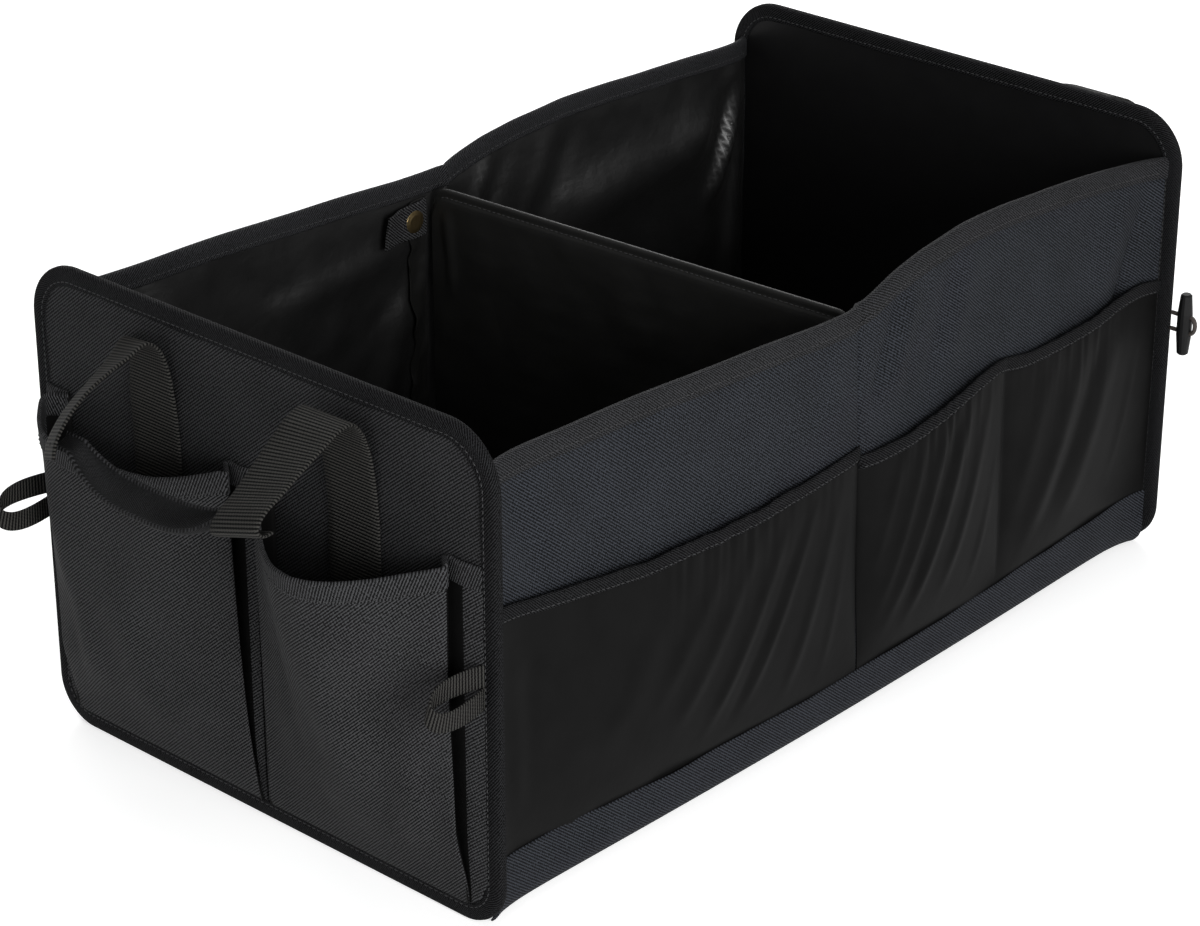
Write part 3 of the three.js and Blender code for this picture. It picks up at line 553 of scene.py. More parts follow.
def add_stitches(name, stitches):
    """One mesh of all the given stitches, each a small six-sided bead."""
    sides = 6
    angle = np.linspace(0, 2 * math.pi, sides, endpoint=False)
    swell = np.array([0.35, 0.95, 1.0, 0.95, 0.35]) * STITCH_RADIUS
    rise = np.array([-0.15, 0.12, 0.2, 0.12, -0.15])
    vertices, faces = [], []
    for line, normal in stitches:
        along = line[-1] - line[0]
        along /= np.linalg.norm(along)
        across = np.cross(along, normal[2])
        across /= np.linalg.norm(across)
        base = len(vertices)
        for k in range(5):
            n = normal[k] / np.linalg.norm(normal[k])
            centre = line[k] + n * rise[k]
            vertices.extend(
                centre + swell[k] * (math.cos(a) * across + math.sin(a) * n) for a in angle)
        for k in range(4):
            for s in range(sides):
                m = (s + 1) % sides
                faces.append((base + k * sides + s, base + k * sides + m,
                              base + (k + 1) * sides + m, base + (k + 1) * sides + s))
        faces.append(tuple(base + s for s in range(sides))[::-1])
        faces.append(tuple(base + 4 * sides + s for s in range(sides)))
    mesh = bpy.data.meshes.new(name)
    mesh.from_pydata((np.array(vertices) * MM).tolist(), [], faces)
    layer = mesh.uv_layers.new(name="UVMap")
    co = np.array([vertices[loop.vertex_index][:2] for loop in mesh.loops])
    layer.data.foreach_set("uv", (co * MM).ravel())
    mesh.shade_smooth()
    add_piece(name, mesh, "thread")


# Long walls

TOP_EDGE = (
    (-310, 279), (-220, 277), (-139, 273.5), (-69, 269), (-33, 267), (-6, 266), (6, 266.5), (22, 271),
    (40, 276), (69, 281), (110, 284), (160, 283), (200, 281), (265, 276), (310, 273),
)
WALL_COLUMNS = 155
WALL_ROWS = 58
SEAM_COLUMNS = np.array([-2.4, -1.2, -0.5, 0.05, 0.6, 1.3, 2.5])


def smooth_line(points, fine, window):
    """The line through the points at the fine places, with its corners rounded over a window of them."""
    points = np.array(points, float)
    line = np.interp(fine, points[:, 0], points[:, 1])
    kernel = np.hanning(window)
    return np.convolve(np.pad(line, window // 2, mode="edge"), kernel / kernel.sum(), mode="valid")


def wall_top(x):
    """Height of the long wall's top edge."""
    fine = np.linspace(-315, 315, 316)
    return np.interp(x, fine, smooth_line(TOP_EDGE, fine, 11))


def wall_face(x, z):
    """Distance of the wall's outer face from the middle plane, without its wrinkles."""
    share = (x + WALL_END) / (2 * WALL_END)
    low = 6.0 * np.sin(math.pi * share) * (1 - 0.8 * z / PANEL_HEIGHT)
    flare = 6.5 * np.exp(-(WALL_END - np.abs(x)) / 14.0)
    far = np.clip(x / WALL_END, 0, 1)
    lean = 7.0 * np.sin(math.pi * far) * np.clip((z - 190) / 94.0, 0, 1.1)
    seam = 1.3 * np.exp(-((x - SEAM_X) / 8.0) ** 2) + 1.3 * np.exp(-((x - SEAM_X) / 1.1) ** 2)
    return WALL_OFFSET + low + flare - lean - seam * smoothstep(z, 20, 120)


WALL_FOLDS = (
    ((-190, 268), (-120, 205), 16, 2.2),
    ((-300, 262), (-262, 200), 9, -3.2),
    ((-276, 266), (-238, 204), 10, 2.6),
    ((-250, 262), (-214, 212), 9, -1.6),
    ((46, 266), (18, 200), 5, -3.6),
    ((62, 268), (34, 196), 7, 3.2),
    ((104, 270), (68, 188), 8, -2.6),
    ((126, 272), (90, 200), 10, 2.4),
    ((306, 266), (262, 160), 6, -4.6),
    ((286, 268), (246, 190), 9, 3.2),
    ((250, 262), (222, 205), 12, -1.6),
    ((-20, 250), (-14, 190), 9, 1.4),
    ((300, 150), (292, 60), 8, -1.5),
    ((-300, 180), (-296, 60), 8, -1.2),
)


def wall_wrinkles(x, z):
    """Soft folds of the wall's cloth, the same on its twill and its lining."""
    total = with_folds(ripple(x, z, 5, 130, 0.7), x, z, WALL_FOLDS)
    hold = smoothstep(WALL_END - np.abs(x), 0, 25) * smoothstep(wall_top(x) - z, 0, 12)
    return total * (hold * smoothstep(z, 12, 40))


def wall_grid(side, low, lift):
    """Points and UVs of the wall between a height and its top, lift outside its outer face."""
    even = np.linspace(-WALL_END, WALL_END, WALL_COLUMNS)
    x = spread(np.sort(np.concatenate([even, SEAM_X + SEAM_COLUMNS])), WALL_ROWS)
    z = low + (wall_top(x) - low) * np.linspace(0, 1, WALL_ROWS)
    y = wall_face(x, z) + wall_wrinkles(x, z) + lift
    return on_side(side, x, y, z), flat_map(x, z)


def wall_foot(side, x, angles, lift):
    """Points round the wall's lower edge, at angles from straight below its centre."""
    angle = np.radians(angles)
    radius = WALL_FOOT_RADIUS
    y = wall_face(x, radius) - radius + (radius + lift) * np.sin(angle)
    z = radius - (radius + lift) * np.cos(angle)
    return on_side(side, x, y, z)


def add_wall_cover(label, side):
    """The wall's twill, turned in at its foot to the seam under the floor."""
    low = WALL_FOOT_RADIUS
    face, face_uv = wall_grid(side, low, 0.0)
    angles = np.array([0, 20, 40, 60, 78])
    x = spread(face[:, 0, 0], len(angles))
    foot = wall_foot(side, x, angles, 0.0)
    foot_uv = flat_map(x, low - np.radians(90 - angles) * low)
    seam = foot[:, :1] * [1, 0, 0]
    seam[..., 1] = side * np.minimum(BASE_SEAM, np.abs(foot[:, :1, 1]) - 0.6)
    seam_uv = foot_uv[:, :1] - [0, 3.0]
    grid = np.concatenate([seam, foot, face], axis=1)
    uv = np.concatenate([seam_uv, foot_uv, face_uv], axis=1)
    add_sheet(f"{label}_wall_twill", grid, uv, TWILL, (0, side, 0), "wall", f"{label}_wall_cover")


LINING_FOLDS = (
    ((-20, 224), (-160, 212), 10, 3.4),
    ((-22, 216), (-112, 150), 13, -3.4),
    ((-24, 200), (-62, 96), 12, 4.0),
    ((-18, 196), (-36, 40), 6, 2.4),
    ((-75, 195), (-130, 110), 14, 2.6),
    ((96, 202), (286, 222), 24, 13.0),
    ((304, 264), (236, 222), 7, 3.6),
    ((303, 258), (262, 196), 6, -4.5),
    ((303, 250), (256, 160), 7, 5.0),
    ((302, 238), (262, 90), 8, -4.0),
    ((301, 220), (284, 60), 7, 3.0),
    ((-250, 255), (-200, 110), 26, 2.4),
    ((-296, 240), (-270, 120), 9, 3.0),
    ((30, 240), (60, 100), 12, 2.4),
)


def lining_slack(x, z):
    """How far the wall's lining hangs in from the twill, in folds from the snap and the far corner."""
    slack = with_folds(ripple(x, z, 11, 85, 0.8), x, z, LINING_FOLDS)
    hold = smoothstep(wall_top(x) - z, 6, 22) * smoothstep(WALL_END - np.abs(x), 0, 12)
    return hold * smoothstep(z, 6, 30) * np.maximum(slack + 1.2, -0.1)


def add_wall_lining(label, side):
    grid, uv = wall_grid(side, 6.0, -LINING_OUTER_FACE)
    grid[..., 1] -= side * lining_slack(grid[..., 0], grid[..., 2])
    add_sheet(f"{label}_wall_inner", grid, uv, LINING, (0, side, 0), "lining", f"{label}_wall_lining")


HEM_PROFILE = (
    (0.9, -12), (1.9, -12.1), (2.1, -10.5), (1.7, -8.6), (2.2, -6), (2.1, -2.5), (1.4, 0.2), (0.2, 1.35),
    (-1.2, 1.5), (-2.6, 1.1), (-3.4, 0.0), (-3.9, -2.5), (-4.0, -6), (-3.6, -8.6), (-4.0, -10.5),
    (-3.8, -12), (-2.4, -12), (-2.3, -5), (-1.0, -1.0), (0.2, -5), (0.3, -12),
)


def add_wall_hem(label, side):
    """Twill folded over the wall's top edge, soft and a little uneven."""
    xs = np.linspace(-WALL_END, WALL_END, 160)
    top = wall_top(xs) + 0.35 * np.sin(xs / 17.0)
    rings = []
    for lift, rise in HEM_PROFILE:
        z = top + rise
        rings.append(on_side(side, xs, wall_face(xs, np.minimum(z, top)) + lift, z))
    add_tape(f"{label}_top_hem", rings, xs, HEM_PROFILE, "hem", f"{label}_wall_top_hem")


def band_top(x):
    return 29.5 + 10.0 * (x / WALL_END) ** 2


def add_base_band(label, side):
    """The twill strip over the wall's foot, up to the pockets."""
    xs = np.linspace(-WALL_END + 0.3, WALL_END - 0.3, 156)
    angles = np.array([36, 48, 60, 75, 90])
    foot = wall_foot(side, spread(xs, len(angles)), angles, BAND_BACK)
    low = WALL_FOOT_RADIUS
    share = np.array([0.3, 0.6, 0.85, 1.0])
    x = spread(xs, len(share))
    z = low + (band_top(x) + 0.5 * np.sin(x / 23.0) - low) * share
    y = wall_face(x, z) + BAND_BACK + 0.5 * share * np.sin(x / 31.0) + 0.5 * ripple(x, z, 23, 60, 1.0)
    grid = np.concatenate([foot, on_side(side, x, y, z)], axis=1)
    steps = np.linalg.norm(np.diff(grid, axis=1), axis=2)
    arc = np.concatenate([np.zeros((len(xs), 1)), np.cumsum(steps, axis=1)], axis=1)
    add_sheet(f"{label}_base_strip", grid, flat_map(xs[:, None], arc), 1.2, (0, side, 0), "wall",
              f"{label}_base_band")


# Gathered pockets

POCKETS = {
    "near": {
        "from": -309.6,
        "to": 4.5,
        "top": (
            (-310, 196), (-290, 193), (-249, 187), (-194, 180), (-134, 177), (-90, 176), (-48, 178), (4, 180),
        ),
        "seams": (0.0, 1.0),
        "folds": (
            ((-296, 175), (-292, 50), 6, 2.6),
            ((-282, 170), (-283, 60), 6, -1.6),
            ((-60, 168), (-142, 45), 5, 2.8),
            ((-34, 170), (-108, 50), 4, 2.4),
            ((-12, 168), (-70, 40), 5, 2.8),
            ((-4, 150), (-34, 40), 4, 2.0),
            ((-86, 168), (-170, 60), 6, 2.0),
            ((-115, 166), (-190, 80), 7, 1.6),
            ((-45, 164), (-124, 40), 5, -1.8),
            ((-160, 164), (-232, 66), 11, 1.4),
        ),
        "seed": 3,
        "pitch": 13.0,
        "depth": (0.3, 0.9),
    },
    "far": {
        "from": 6.0,
        "to": 309.6,
        "top": (
            (7, 173), (22, 173.5), (54, 176), (78, 180), (110, 187), (140, 191), (149, 188), (165, 186),
            (213, 186.5), (243, 188), (269, 193), (290, 193), (310, 191),
        ),
        "seams": (0.0, 0.47, 1.0),
        "folds": (
            ((44, 170), (12, 90), 4, 2.4),
            ((66, 174), (18, 60), 4, 2.6),
            ((90, 180), (24, 44), 5, 3.2),
            ((116, 186), (44, 42), 5, 3.0),
            ((138, 184), (78, 50), 5, 2.6),
            ((146, 150), (112, 44), 4, 1.8),
            ((102, 180), (46, 60), 4, -1.8),
            ((196, 180), (150, 60), 7, 2.2),
            ((232, 184), (168, 40), 8, 3.0),
            ((272, 188), (206, 46), 9, 2.8),
            ((300, 180), (262, 60), 6, 2.0),
            ((254, 184), (190, 60), 6, -1.8),
        ),
        "seed": 8,
        "pitch": 10.5,
        "depth": (1.1, 0.5),
    },
}


def pocket_top(pocket, x):
    """Height of the pocket's mouth."""
    fine = np.linspace(pocket["top"][0][0], pocket["top"][-1][0], 200)
    return np.interp(x, fine, smooth_line(pocket["top"], fine, 15))


def pocket_height(x, v, top):
    """Height at a share v of the way from the base band to the pocket's top."""
    return band_top(x) + 1 + v * (top - band_top(x) - 1)


def fullness(u, seams):
    total = np.zeros_like(u)
    for low, high in zip(seams, seams[1:]):
        t = np.clip((u - low) / (high - low), 0, 1)
        inside = (u >= low) & (u <= high)
        total = np.where(inside, np.sin(math.pi * t) ** 0.55, total)
    return total


def puckers(u, v, seed, pitch):
    """Fine gathers that hang from the elastic and fade out below it."""
    rng = np.random.default_rng(seed)
    phases = rng.uniform(0, 6, 5)
    bend = 2.6 * np.sin(u / 31.0 + phases[0]) + 1.9 * np.sin(u / 12.0 + phases[1])
    strength = np.clip(0.35 + 0.65 * np.sin(u / 37.0 + phases[2]) * np.sin(u / 83.0 + phases[3]), 0.05, 1)
    slant = u + 26 * (1 - v)
    fine = np.sin(2 * math.pi * slant / pitch + bend)
    fine = fine + 0.5 * np.sin(3.4 * math.pi * slant / pitch + phases[4])
    return 0.6 * strength * fine * v ** 6


def pocket_lift(pocket, x, v, top):
    """How far the pocket's cloth stands off the wall at a share v of its height."""
    u = (x - pocket["from"]) / (pocket["to"] - pocket["from"])
    full = fullness(u, pocket["seams"])
    swell = 8.5 * np.sin(math.pi * v) ** 0.8 * (1 - 0.35 * v) + 5.0 * v
    depth = lerp(*pocket["depth"], smoothstep(u, 0.3, 0.6))
    fine = puckers(x, v, pocket["seed"], pocket["pitch"]) * depth
    folds = 0.6 * with_folds(0, x, pocket_height(x, v, top), pocket["folds"])
    folds = folds * np.sin(math.pi * np.clip(v, 0, 1)) ** 0.4
    return np.maximum(full * (swell + fine + folds), 0.05)


def add_side_pocket(label, side, part):
    """The gathered cloth of one pocket, from under the base band to its elastic."""
    name = f"{label}_pocket_{part}"
    pocket = POCKETS[part]
    xs = np.linspace(pocket["from"], pocket["to"], 176)
    v = np.concatenate([np.linspace(0, 0.85, 42), np.linspace(0.87, 1, 12)])
    x = spread(xs, len(v))
    top = pocket_top(pocket, x) - 9
    z = pocket_height(x, v, top)
    y = wall_face(x, z) + wall_wrinkles(x, z) * 0.3 + POCKET_BACK + pocket_lift(pocket, x, v, top)
    foot_x = xs[:, None]
    foot_z = np.array([18.0, 24.0])
    foot = on_side(side, foot_x, wall_face(foot_x, foot_z) + POCKET_BACK, foot_z)
    grid = np.concatenate([foot, on_side(side, x, y, z)], axis=1)
    mesh = cloth(f"{name}_cloth", grid, grid[..., [0, 2]], NYLON, (0, side, 0))
    piece = add_piece(f"{name}_cloth", mesh, "nylon", stands_for=[name])
    band = add_pocket_elastic(name, side, pocket)


ELASTIC_PROFILE = (
    (0.1, -9.6), (1.2, -9.4), (1.7, -7.5), (1.9, -4.5), (1.8, -1.6), (1.2, -0.3), (0.4, 0), (-0.2, -0.4),
    (-0.6, -1.6), (-0.7, -4.5), (-0.6, -9.0),
)


def add_pocket_elastic(name, side, pocket):
    """The folded band along the pocket's mouth, drawn up by its elastic into small waves."""
    xs = np.linspace(pocket["from"], pocket["to"], 200)
    top = pocket_top(pocket, xs) + 0.5 * np.sin(xs / 9.0) * np.sin(xs / 37.0)
    lift = pocket_lift(pocket, xs, np.ones_like(xs), top) + POCKET_BACK
    rings = []
    for out, rise in ELASTIC_PROFILE:
        z = top + rise
        y = wall_face(xs, z) + lift + out + 0.3 * np.sin(xs / 5.2) * max(0.0, 1 + rise / 9)
        rings.append(on_side(side, xs, y, z))
    return add_tape(f"{name}_band", rings, xs, ELASTIC_PROFILE, "tape", f"{name}_elastic")


for wall_label, wall_side in SIDES:
    add_wall_cover(wall_label, wall_side)
    add_wall_lining(wall_label, wall_side)
    add_wall_hem(wall_label, wall_side)
    add_base_band(wall_label, wall_side)
    for pocket_part in POCKETS:
        add_side_pocket(wall_label, wall_side, pocket_part)


# End panels


OUTLINE_STEP = 3.0


def panel_outline():
    """Points, outward directions and arc length round the end panel's outline."""
    corners = (
        (HALF_WIDTH - PANEL_TOP_RADIUS, PANEL_HEIGHT - PANEL_TOP_RADIUS, PANEL_TOP_RADIUS, 0),
        (-HALF_WIDTH + PANEL_TOP_RADIUS, PANEL_HEIGHT - PANEL_TOP_RADIUS, PANEL_TOP_RADIUS, 90),
        (-HALF_WIDTH + PANEL_BOTTOM_RADIUS, PANEL_BOTTOM_RADIUS, PANEL_BOTTOM_RADIUS, 180),
        (HALF_WIDTH - PANEL_BOTTOM_RADIUS, PANEL_BOTTOM_RADIUS, PANEL_BOTTOM_RADIUS, 270),
    )
    points, directions = [], []
    for index, (cy, cz, radius, start) in enumerate(corners):
        for degrees in np.linspace(start, start + 90, 16):
            d = (math.cos(math.radians(degrees)), math.sin(math.radians(degrees)))
            points.append((cy + radius * d[0], cz + radius * d[1]))
            directions.append(d)
        ny, nz, nr, ns = corners[(index + 1) % 4]
        d = (math.cos(math.radians(ns)), math.sin(math.radians(ns)))
        goal = (ny + nr * d[0], nz + nr * d[1])
        here = points[-1]
        pieces = int(math.dist(here, goal) / OUTLINE_STEP)
        for k in range(1, pieces):
            t = k / pieces
            points.append((lerp(here[0], goal[0], t), lerp(here[1], goal[1], t)))
            directions.append(d)
    points, directions = np.array(points), np.array(directions)
    steps = np.linalg.norm(np.roll(points, -1, axis=0) - points, axis=1)
    return points, directions, np.concatenate([[0], np.cumsum(steps)])


OUTLINE = panel_outline()


def add_binding(label, end):
    """Tape folded round the panel's edge, plump over the edge and pulled flat at its stitches."""
    points, directions, arc = OUTLINE
    outer = HALF_LENGTH
    inner = HALF_LENGTH - PANEL_THICKNESS
    profile = (
        (11.0, outer - 0.9), (11.0, outer - 0.1), (9.6, outer + 0.05), (8.6, outer - 0.25),
        (7.2, outer + 0.15),
        (4.0, outer + 0.25), (1.6, outer - 0.1), (0.5, outer - 0.9), (0.0, outer - 2.2), (0.0, inner + 2.2),
        (0.5, inner + 0.9), (1.6, inner + 0.1), (4.0, inner - 0.2), (7.2, inner - 0.1), (8.6, inner + 0.25),
        (9.6, inner), (11.0, inner + 0.1), (11.0, inner + 0.9),
    )
    wobble = 0.35 * np.sin(arc[:-1] / 19.0) + 0.25 * np.sin(arc[:-1] / 7.3)
    rings = []
    for depth, x in profile:
        uneven = wobble * (1.0 if depth > 9 else 0.0)
        yz = points - (depth + uneven)[:, None] * directions
        rings.append(np.column_stack([np.full(len(points), end * x), yz]))
    add_tape(f"{label}_binding_tape", rings, arc, profile, "tape", f"{label}_panel_binding", closed=True)


for panel_label, panel_end in ENDS:
    add_binding(panel_label, panel_end)


# Divider

DIVIDER_SLOPE = math.tan(math.radians(3))
DIVIDER_HALF_WIDTH = 162.0
DIVIDER_HALF_SLEEVE = 2.9
DIVIDER_FOOT = 5.3
DIVIDER_TOP = 260.0
DIVIDER_CORNER = 12.0
DIVIDER_EDGE = ((2.4, -6.6), (1.5, -5.4), (1.7, -3.5), (1.8, -1.6), (1.2, -0.3), (0.0, 0.0))
DIVIDER_FOLDS = (
    ((150, 250), (145, 188), 4, 2.2),
    ((158, 246), (154, 205), 3, -1.4),
    ((120, 40), (60, 150), 20, 1.6),
    ((-60, 200), (20, 90), 22, 1.4),
    ((-150, 240), (-118, 160), 8, -1.4),
    ((40, 246), (-20, 190), 16, 1.2),
)


def divider_top(y):
    past = np.maximum(0, np.abs(y) - (DIVIDER_HALF_WIDTH - DIVIDER_CORNER))
    return DIVIDER_TOP - DIVIDER_CORNER + np.sqrt(np.maximum(0, DIVIDER_CORNER ** 2 - past ** 2))


def divider_crumple(y, z, seed):
    """Small slack folds of the divider's cloth over its board."""
    total = ripple(y, z, seed, 58, 0.5) + ripple(y, z, seed + 1, 21, 0.22)
    total = with_folds(total, y, z, DIVIDER_FOLDS)
    hold = smoothstep(divider_top(y) - z, 6, 22) * smoothstep(DIVIDER_HALF_WIDTH - np.abs(y), 0, 8)
    return np.maximum(total, -0.3) * hold


def add_divider():
    """Cloth sleeve over the divider's board, sewn flat above it along the top edge."""
    ys = np.linspace(-DIVIDER_HALF_WIDTH, DIVIDER_HALF_WIDTH, 130)
    t = np.linspace(0, 1, 72)
    y = spread(ys, len(t))
    z = DIVIDER_FOOT + (divider_top(y) - 8 - DIVIDER_FOOT) * t
    near, far = (DIVIDER_HALF_SLEEVE + divider_crumple(y, z, seed) for seed in (41, 51))
    out, rise = np.array(DIVIDER_EDGE + tuple((-x, up) for x, up in DIVIDER_EDGE[-2::-1])).T
    cap = np.broadcast_to(-out, (len(ys), len(out)))
    offset = np.concatenate([-near, cap, far[:, ::-1]], axis=1)
    height = np.concatenate([z, divider_top(ys)[:, None] + rise, z[:, ::-1]], axis=1)
    wide = spread(ys, offset.shape[1])
    rings = np.stack([offset - DIVIDER_SLOPE * wide, wide, height], axis=2)
    closing = np.concatenate([height, height[:, :1]], axis=1)
    mesh = loft("divider_cloth", rings, flat_map(ys[:, None], closing))
    add_piece("divider_cloth", mesh, "divider", stands_for=["divider_cover", "divider_piping"])


def add_divider_stitches():
    y = np.linspace(-DIVIDER_HALF_WIDTH + 4, DIVIDER_HALF_WIDTH - 4, 120)
    stitches = []
    for facing in (-1, 1):
        line = np.column_stack([facing * 1.55 - DIVIDER_SLOPE * y, y, divider_top(y) - 5.4])
        stitches += stitch_line(line, (facing, 0, 0))
    add_stitches("divider_stitches", stitches)


def divider_edge(side):
    return -side * DIVIDER_SLOPE * WALL_OFFSET - DIVIDER_HALF_SLEEVE - 0.3


def inner_wall_depth(x, z):
    """Distance of the lining's inner face from the middle plane."""
    return wall_face(x, z) + wall_wrinkles(x, z) - LINING_INNER_FACE - lining_slack(x, z)


def add_floor_lining():
    """Lining over the base boards, turned up a little where it meets the walls and the panels."""
    reach = np.concatenate([np.linspace(0, 306, 90), [307.2, 308.4, 309.3, 309.8]])
    x = np.concatenate([-reach[:0:-1], reach])[:, None]
    edge = inner_wall_depth(x, FLOOR_TOP + 3) - 0.7
    inside = np.linspace(0, BOARD_EDGE, 44) + 0 * x
    turned = BOARD_EDGE + (edge - BOARD_EDGE) * np.linspace(0, 1, 9)[1:]
    y = np.concatenate([inside, turned], axis=1)
    y = np.concatenate([-y[:, :0:-1], y], axis=1)
    wall_rise = smoothstep((np.abs(y) - BOARD_EDGE) / (edge - BOARD_EDGE), 0, 1.3)
    z = FLOOR_TOP + 5.0 * np.maximum(wall_rise, smoothstep(np.abs(x), 305.5, 310.5))
    grid = on_side(1, x, y, z)
    add_sheet("floor_lining", grid, grid[..., :2], LINING, (0, 0, 1), "lining", "base_lining")


def add_divider_flange(label, side):
    """Strip of cloth that sews the divider's edge to the wall, puckered by its stitches."""
    z = np.linspace(18, 252, 150)
    share = np.linspace(0, 1, 13)[:, None]
    reach = 16.5 + 1.6 * np.sin(z / 9.0) + 0.9 * np.sin(z / 3.7 + 1)
    x = divider_edge(side) - reach * share
    pucker = 0.55 * np.sin(z / 2.9 + 2 * np.sin(z / 17)) * (0.4 + share)
    pucker = pucker + 0.7 * np.sin(z / 7.5 + 4 * share)
    free = 2.2 * share ** 3 * (1 + 0.6 * np.sin(z / 13.0))
    y = inner_wall_depth(x, z) - 1.0 - np.maximum(pucker, -0.3) - free
    grid = on_side(side, x, y, z)
    add_sheet(f"{label}_divider_strip", grid, grid[..., [0, 2]], 0.9, (0, -side, 0), "divider",
              f"{label}_divider_flange")


def add_snap_tab(label, side):
    """Twill tab under the brass cap, held at the divider and a little lifted at its free end."""
    share = np.linspace(0, 1, 30)[:, None]
    across = np.linspace(-1, 1, 13)
    x = divider_edge(side) - 0.5 - SNAP_TAB_LENGTH * share + 2.2 * across * share ** 2
    z = SNAP_HEIGHT + lerp(12.0, 10.0, share) * across + 1.5 * share
    inward = 5.4 + 5.0 * smoothstep(share, 0.55, 1.0) + 0.7 * across ** 2 * share
    inward = inward - 2.4 * (1 - smoothstep(share, 0, 0.2))
    grid = on_side(side, x, WALL_OFFSET - inward, z)
    add_sheet(f"{label}_snap_cloth", grid, grid[..., [0, 2]], 1.3, (0, -side, 0), "lit_panel_uv",
              f"{label}_snap_tab")


add_floor_lining()
add_divider()
add_divider_stitches()
for wall_label, wall_side in SIDES:
    add_divider_flange(wall_label, wall_side)
    add_snap_tab(wall_label, wall_side)


# Pleated end pockets

END_POCKETS = {
    "left": {
        "side": 1, "outer_fold": 166.0, "outer_depth": 12.0,
        "front": ((167, 12), (161, 19), (152, 28), (143, 34), (130, 37), (108, 35), (86, 32), (66, 31),
                  (50, 30),
                  (36, 26), (24, 20), (14, 15), (7, 13)),
    },
    "right": {
        "side": -1, "outer_fold": 162.0, "outer_depth": 10.5,
        "front": ((159, 10), (153, 13), (140, 22), (127, 33), (112, 44), (98, 53), (84, 57), (68, 54),
                  (54, 46),
                  (42, 37), (31, 28), (21, 19), (12, 12), (4, 9)),
    },
}
END_POCKET_FOLDS = (
    ((152, 190), (128, 40), 11, 2.4),
    ((60, 200), (96, 70), 15, 2.4),
    ((30, 180), (50, 60), 9, -1.8),
    ((104, 130), (78, 22), 18, 2.6),
    ((140, 120), (150, 20), 8, -1.6),
)
# Columns of the pocket's grid in each pleat, from its outer and from its inner end
OUTER_GUSSET = (6, 16)
INNER_GUSSET = (14, 4)
STITCHED_COLUMNS = slice(17, -13)
POCKET_EDGE = 174.5
POCKET_SEAM = 1.0
POCKET_FOOT = 1.4
PLEAT_DEPTH = 1.7
HEM_WIDTH = 12.0
HEM_WEAVE_TURN = math.radians(28)


def leg(start, end, count):
    """Points from start up to, not including, end."""
    t = np.arange(count)[:, None] / count
    return lerp(np.array(start, float), np.array(end, float), t)


def end_pocket_plan(spec, share):
    """Plan line as [y, distance] at one share of the height: flange, pleat, front, pleat, flange."""
    front = np.array(spec["front"], float)
    arc = arc_lengths(front)
    fine = np.linspace(0, arc[-1], 56)
    mouth = sample(fine, arc, front)
    across = np.linspace(0, 1, len(fine))
    fold = spec["outer_fold"]
    outer_depth = lerp(2.6, spec["outer_depth"], smoothstep(share, 0.0, 0.25))
    inner_depth = lerp(2.4, mouth[-1, 1], share ** 0.45)
    flat_y = lerp(fold + 1.5, -4.0 * (1 - share) + 6.0, across)
    edge_depth = lerp(outer_depth, inner_depth, across)
    mouth_edge = lerp(mouth[0, 1], mouth[-1, 1], across)
    y = lerp(flat_y, mouth[:, 0], smoothstep(share, -0.15, 0.8))
    depth = edge_depth + (mouth[:, 1] - mouth_edge) * share ** 0.95
    tuck = lerp(2.0, 15.0, smoothstep(share, 0.0, 0.3))
    flange = POCKET_FOOT + 1.8 * smoothstep(share, 0.0, 0.2)
    inner = mouth[-1, 0]
    return np.concatenate([
        leg((POCKET_EDGE, POCKET_FOOT), (fold, flange), 6),
        leg((fold, flange), (fold - tuck, PLEAT_DEPTH), 5),
        leg((fold - tuck, PLEAT_DEPTH), (y[0], depth[0]), 5),
        np.stack([y, depth], axis=1),
        leg((y[-1], depth[-1]), (y[-1] + tuck, PLEAT_DEPTH), 5)[1:],
        leg((y[-1] + tuck, PLEAT_DEPTH), (inner, flange), 5),
        leg((inner, flange), (POCKET_SEAM, POCKET_FOOT), 3),
        [[POCKET_SEAM, POCKET_FOOT]],
    ])


def end_pocket_top(across):
    """Height of the mouth: level at the flanges, lower along the front."""
    inside = np.clip((across - 0.18) / 0.64, 0, 1)
    return 222.5 - 15.0 * np.sin(math.pi * inside) ** 0.9


def end_pocket_grid(spec):
    """Points and UVs of the pocket's cloth: its plan lines from foot to mouth, with its folds."""
    rows = np.concatenate([np.linspace(0, 0.9, 44), np.linspace(0.92, 1, 10)])
    plans = np.stack([end_pocket_plan(spec, share) for share in rows], axis=1)
    for _ in range(2):
        plans[1:-1] = (plans[:-2] + 2 * plans[1:-1] + plans[2:]) / 4
    across = np.linspace(0, 1, len(plans))
    y, depth = plans[..., 0], plans[..., 1]
    past = np.maximum(0, y[:, :1] - 156)
    foot = 12.0 + np.maximum(0, 16.7 - np.sqrt(np.maximum(0, 16.7 ** 2 - past ** 2)))
    z = foot + (end_pocket_top(across)[:, None] - foot) * rows[None, :]
    middle = np.sin(math.pi * np.clip((across - 0.16) / 0.68, 0, 1))[:, None] ** 0.6
    swell = with_folds(0, y, z, END_POCKET_FOLDS) + ripple(y, z, 31, 80, 0.7)
    depth = depth + swell * middle * smoothstep(rows, 0.03, 0.3)[None, :]
    arc = arc_lengths(plans[:, -1])
    return on_side(spec["side"], -COVER_FACE - depth, y, z), flat_map(-spec["side"] * arc[:, None], z)


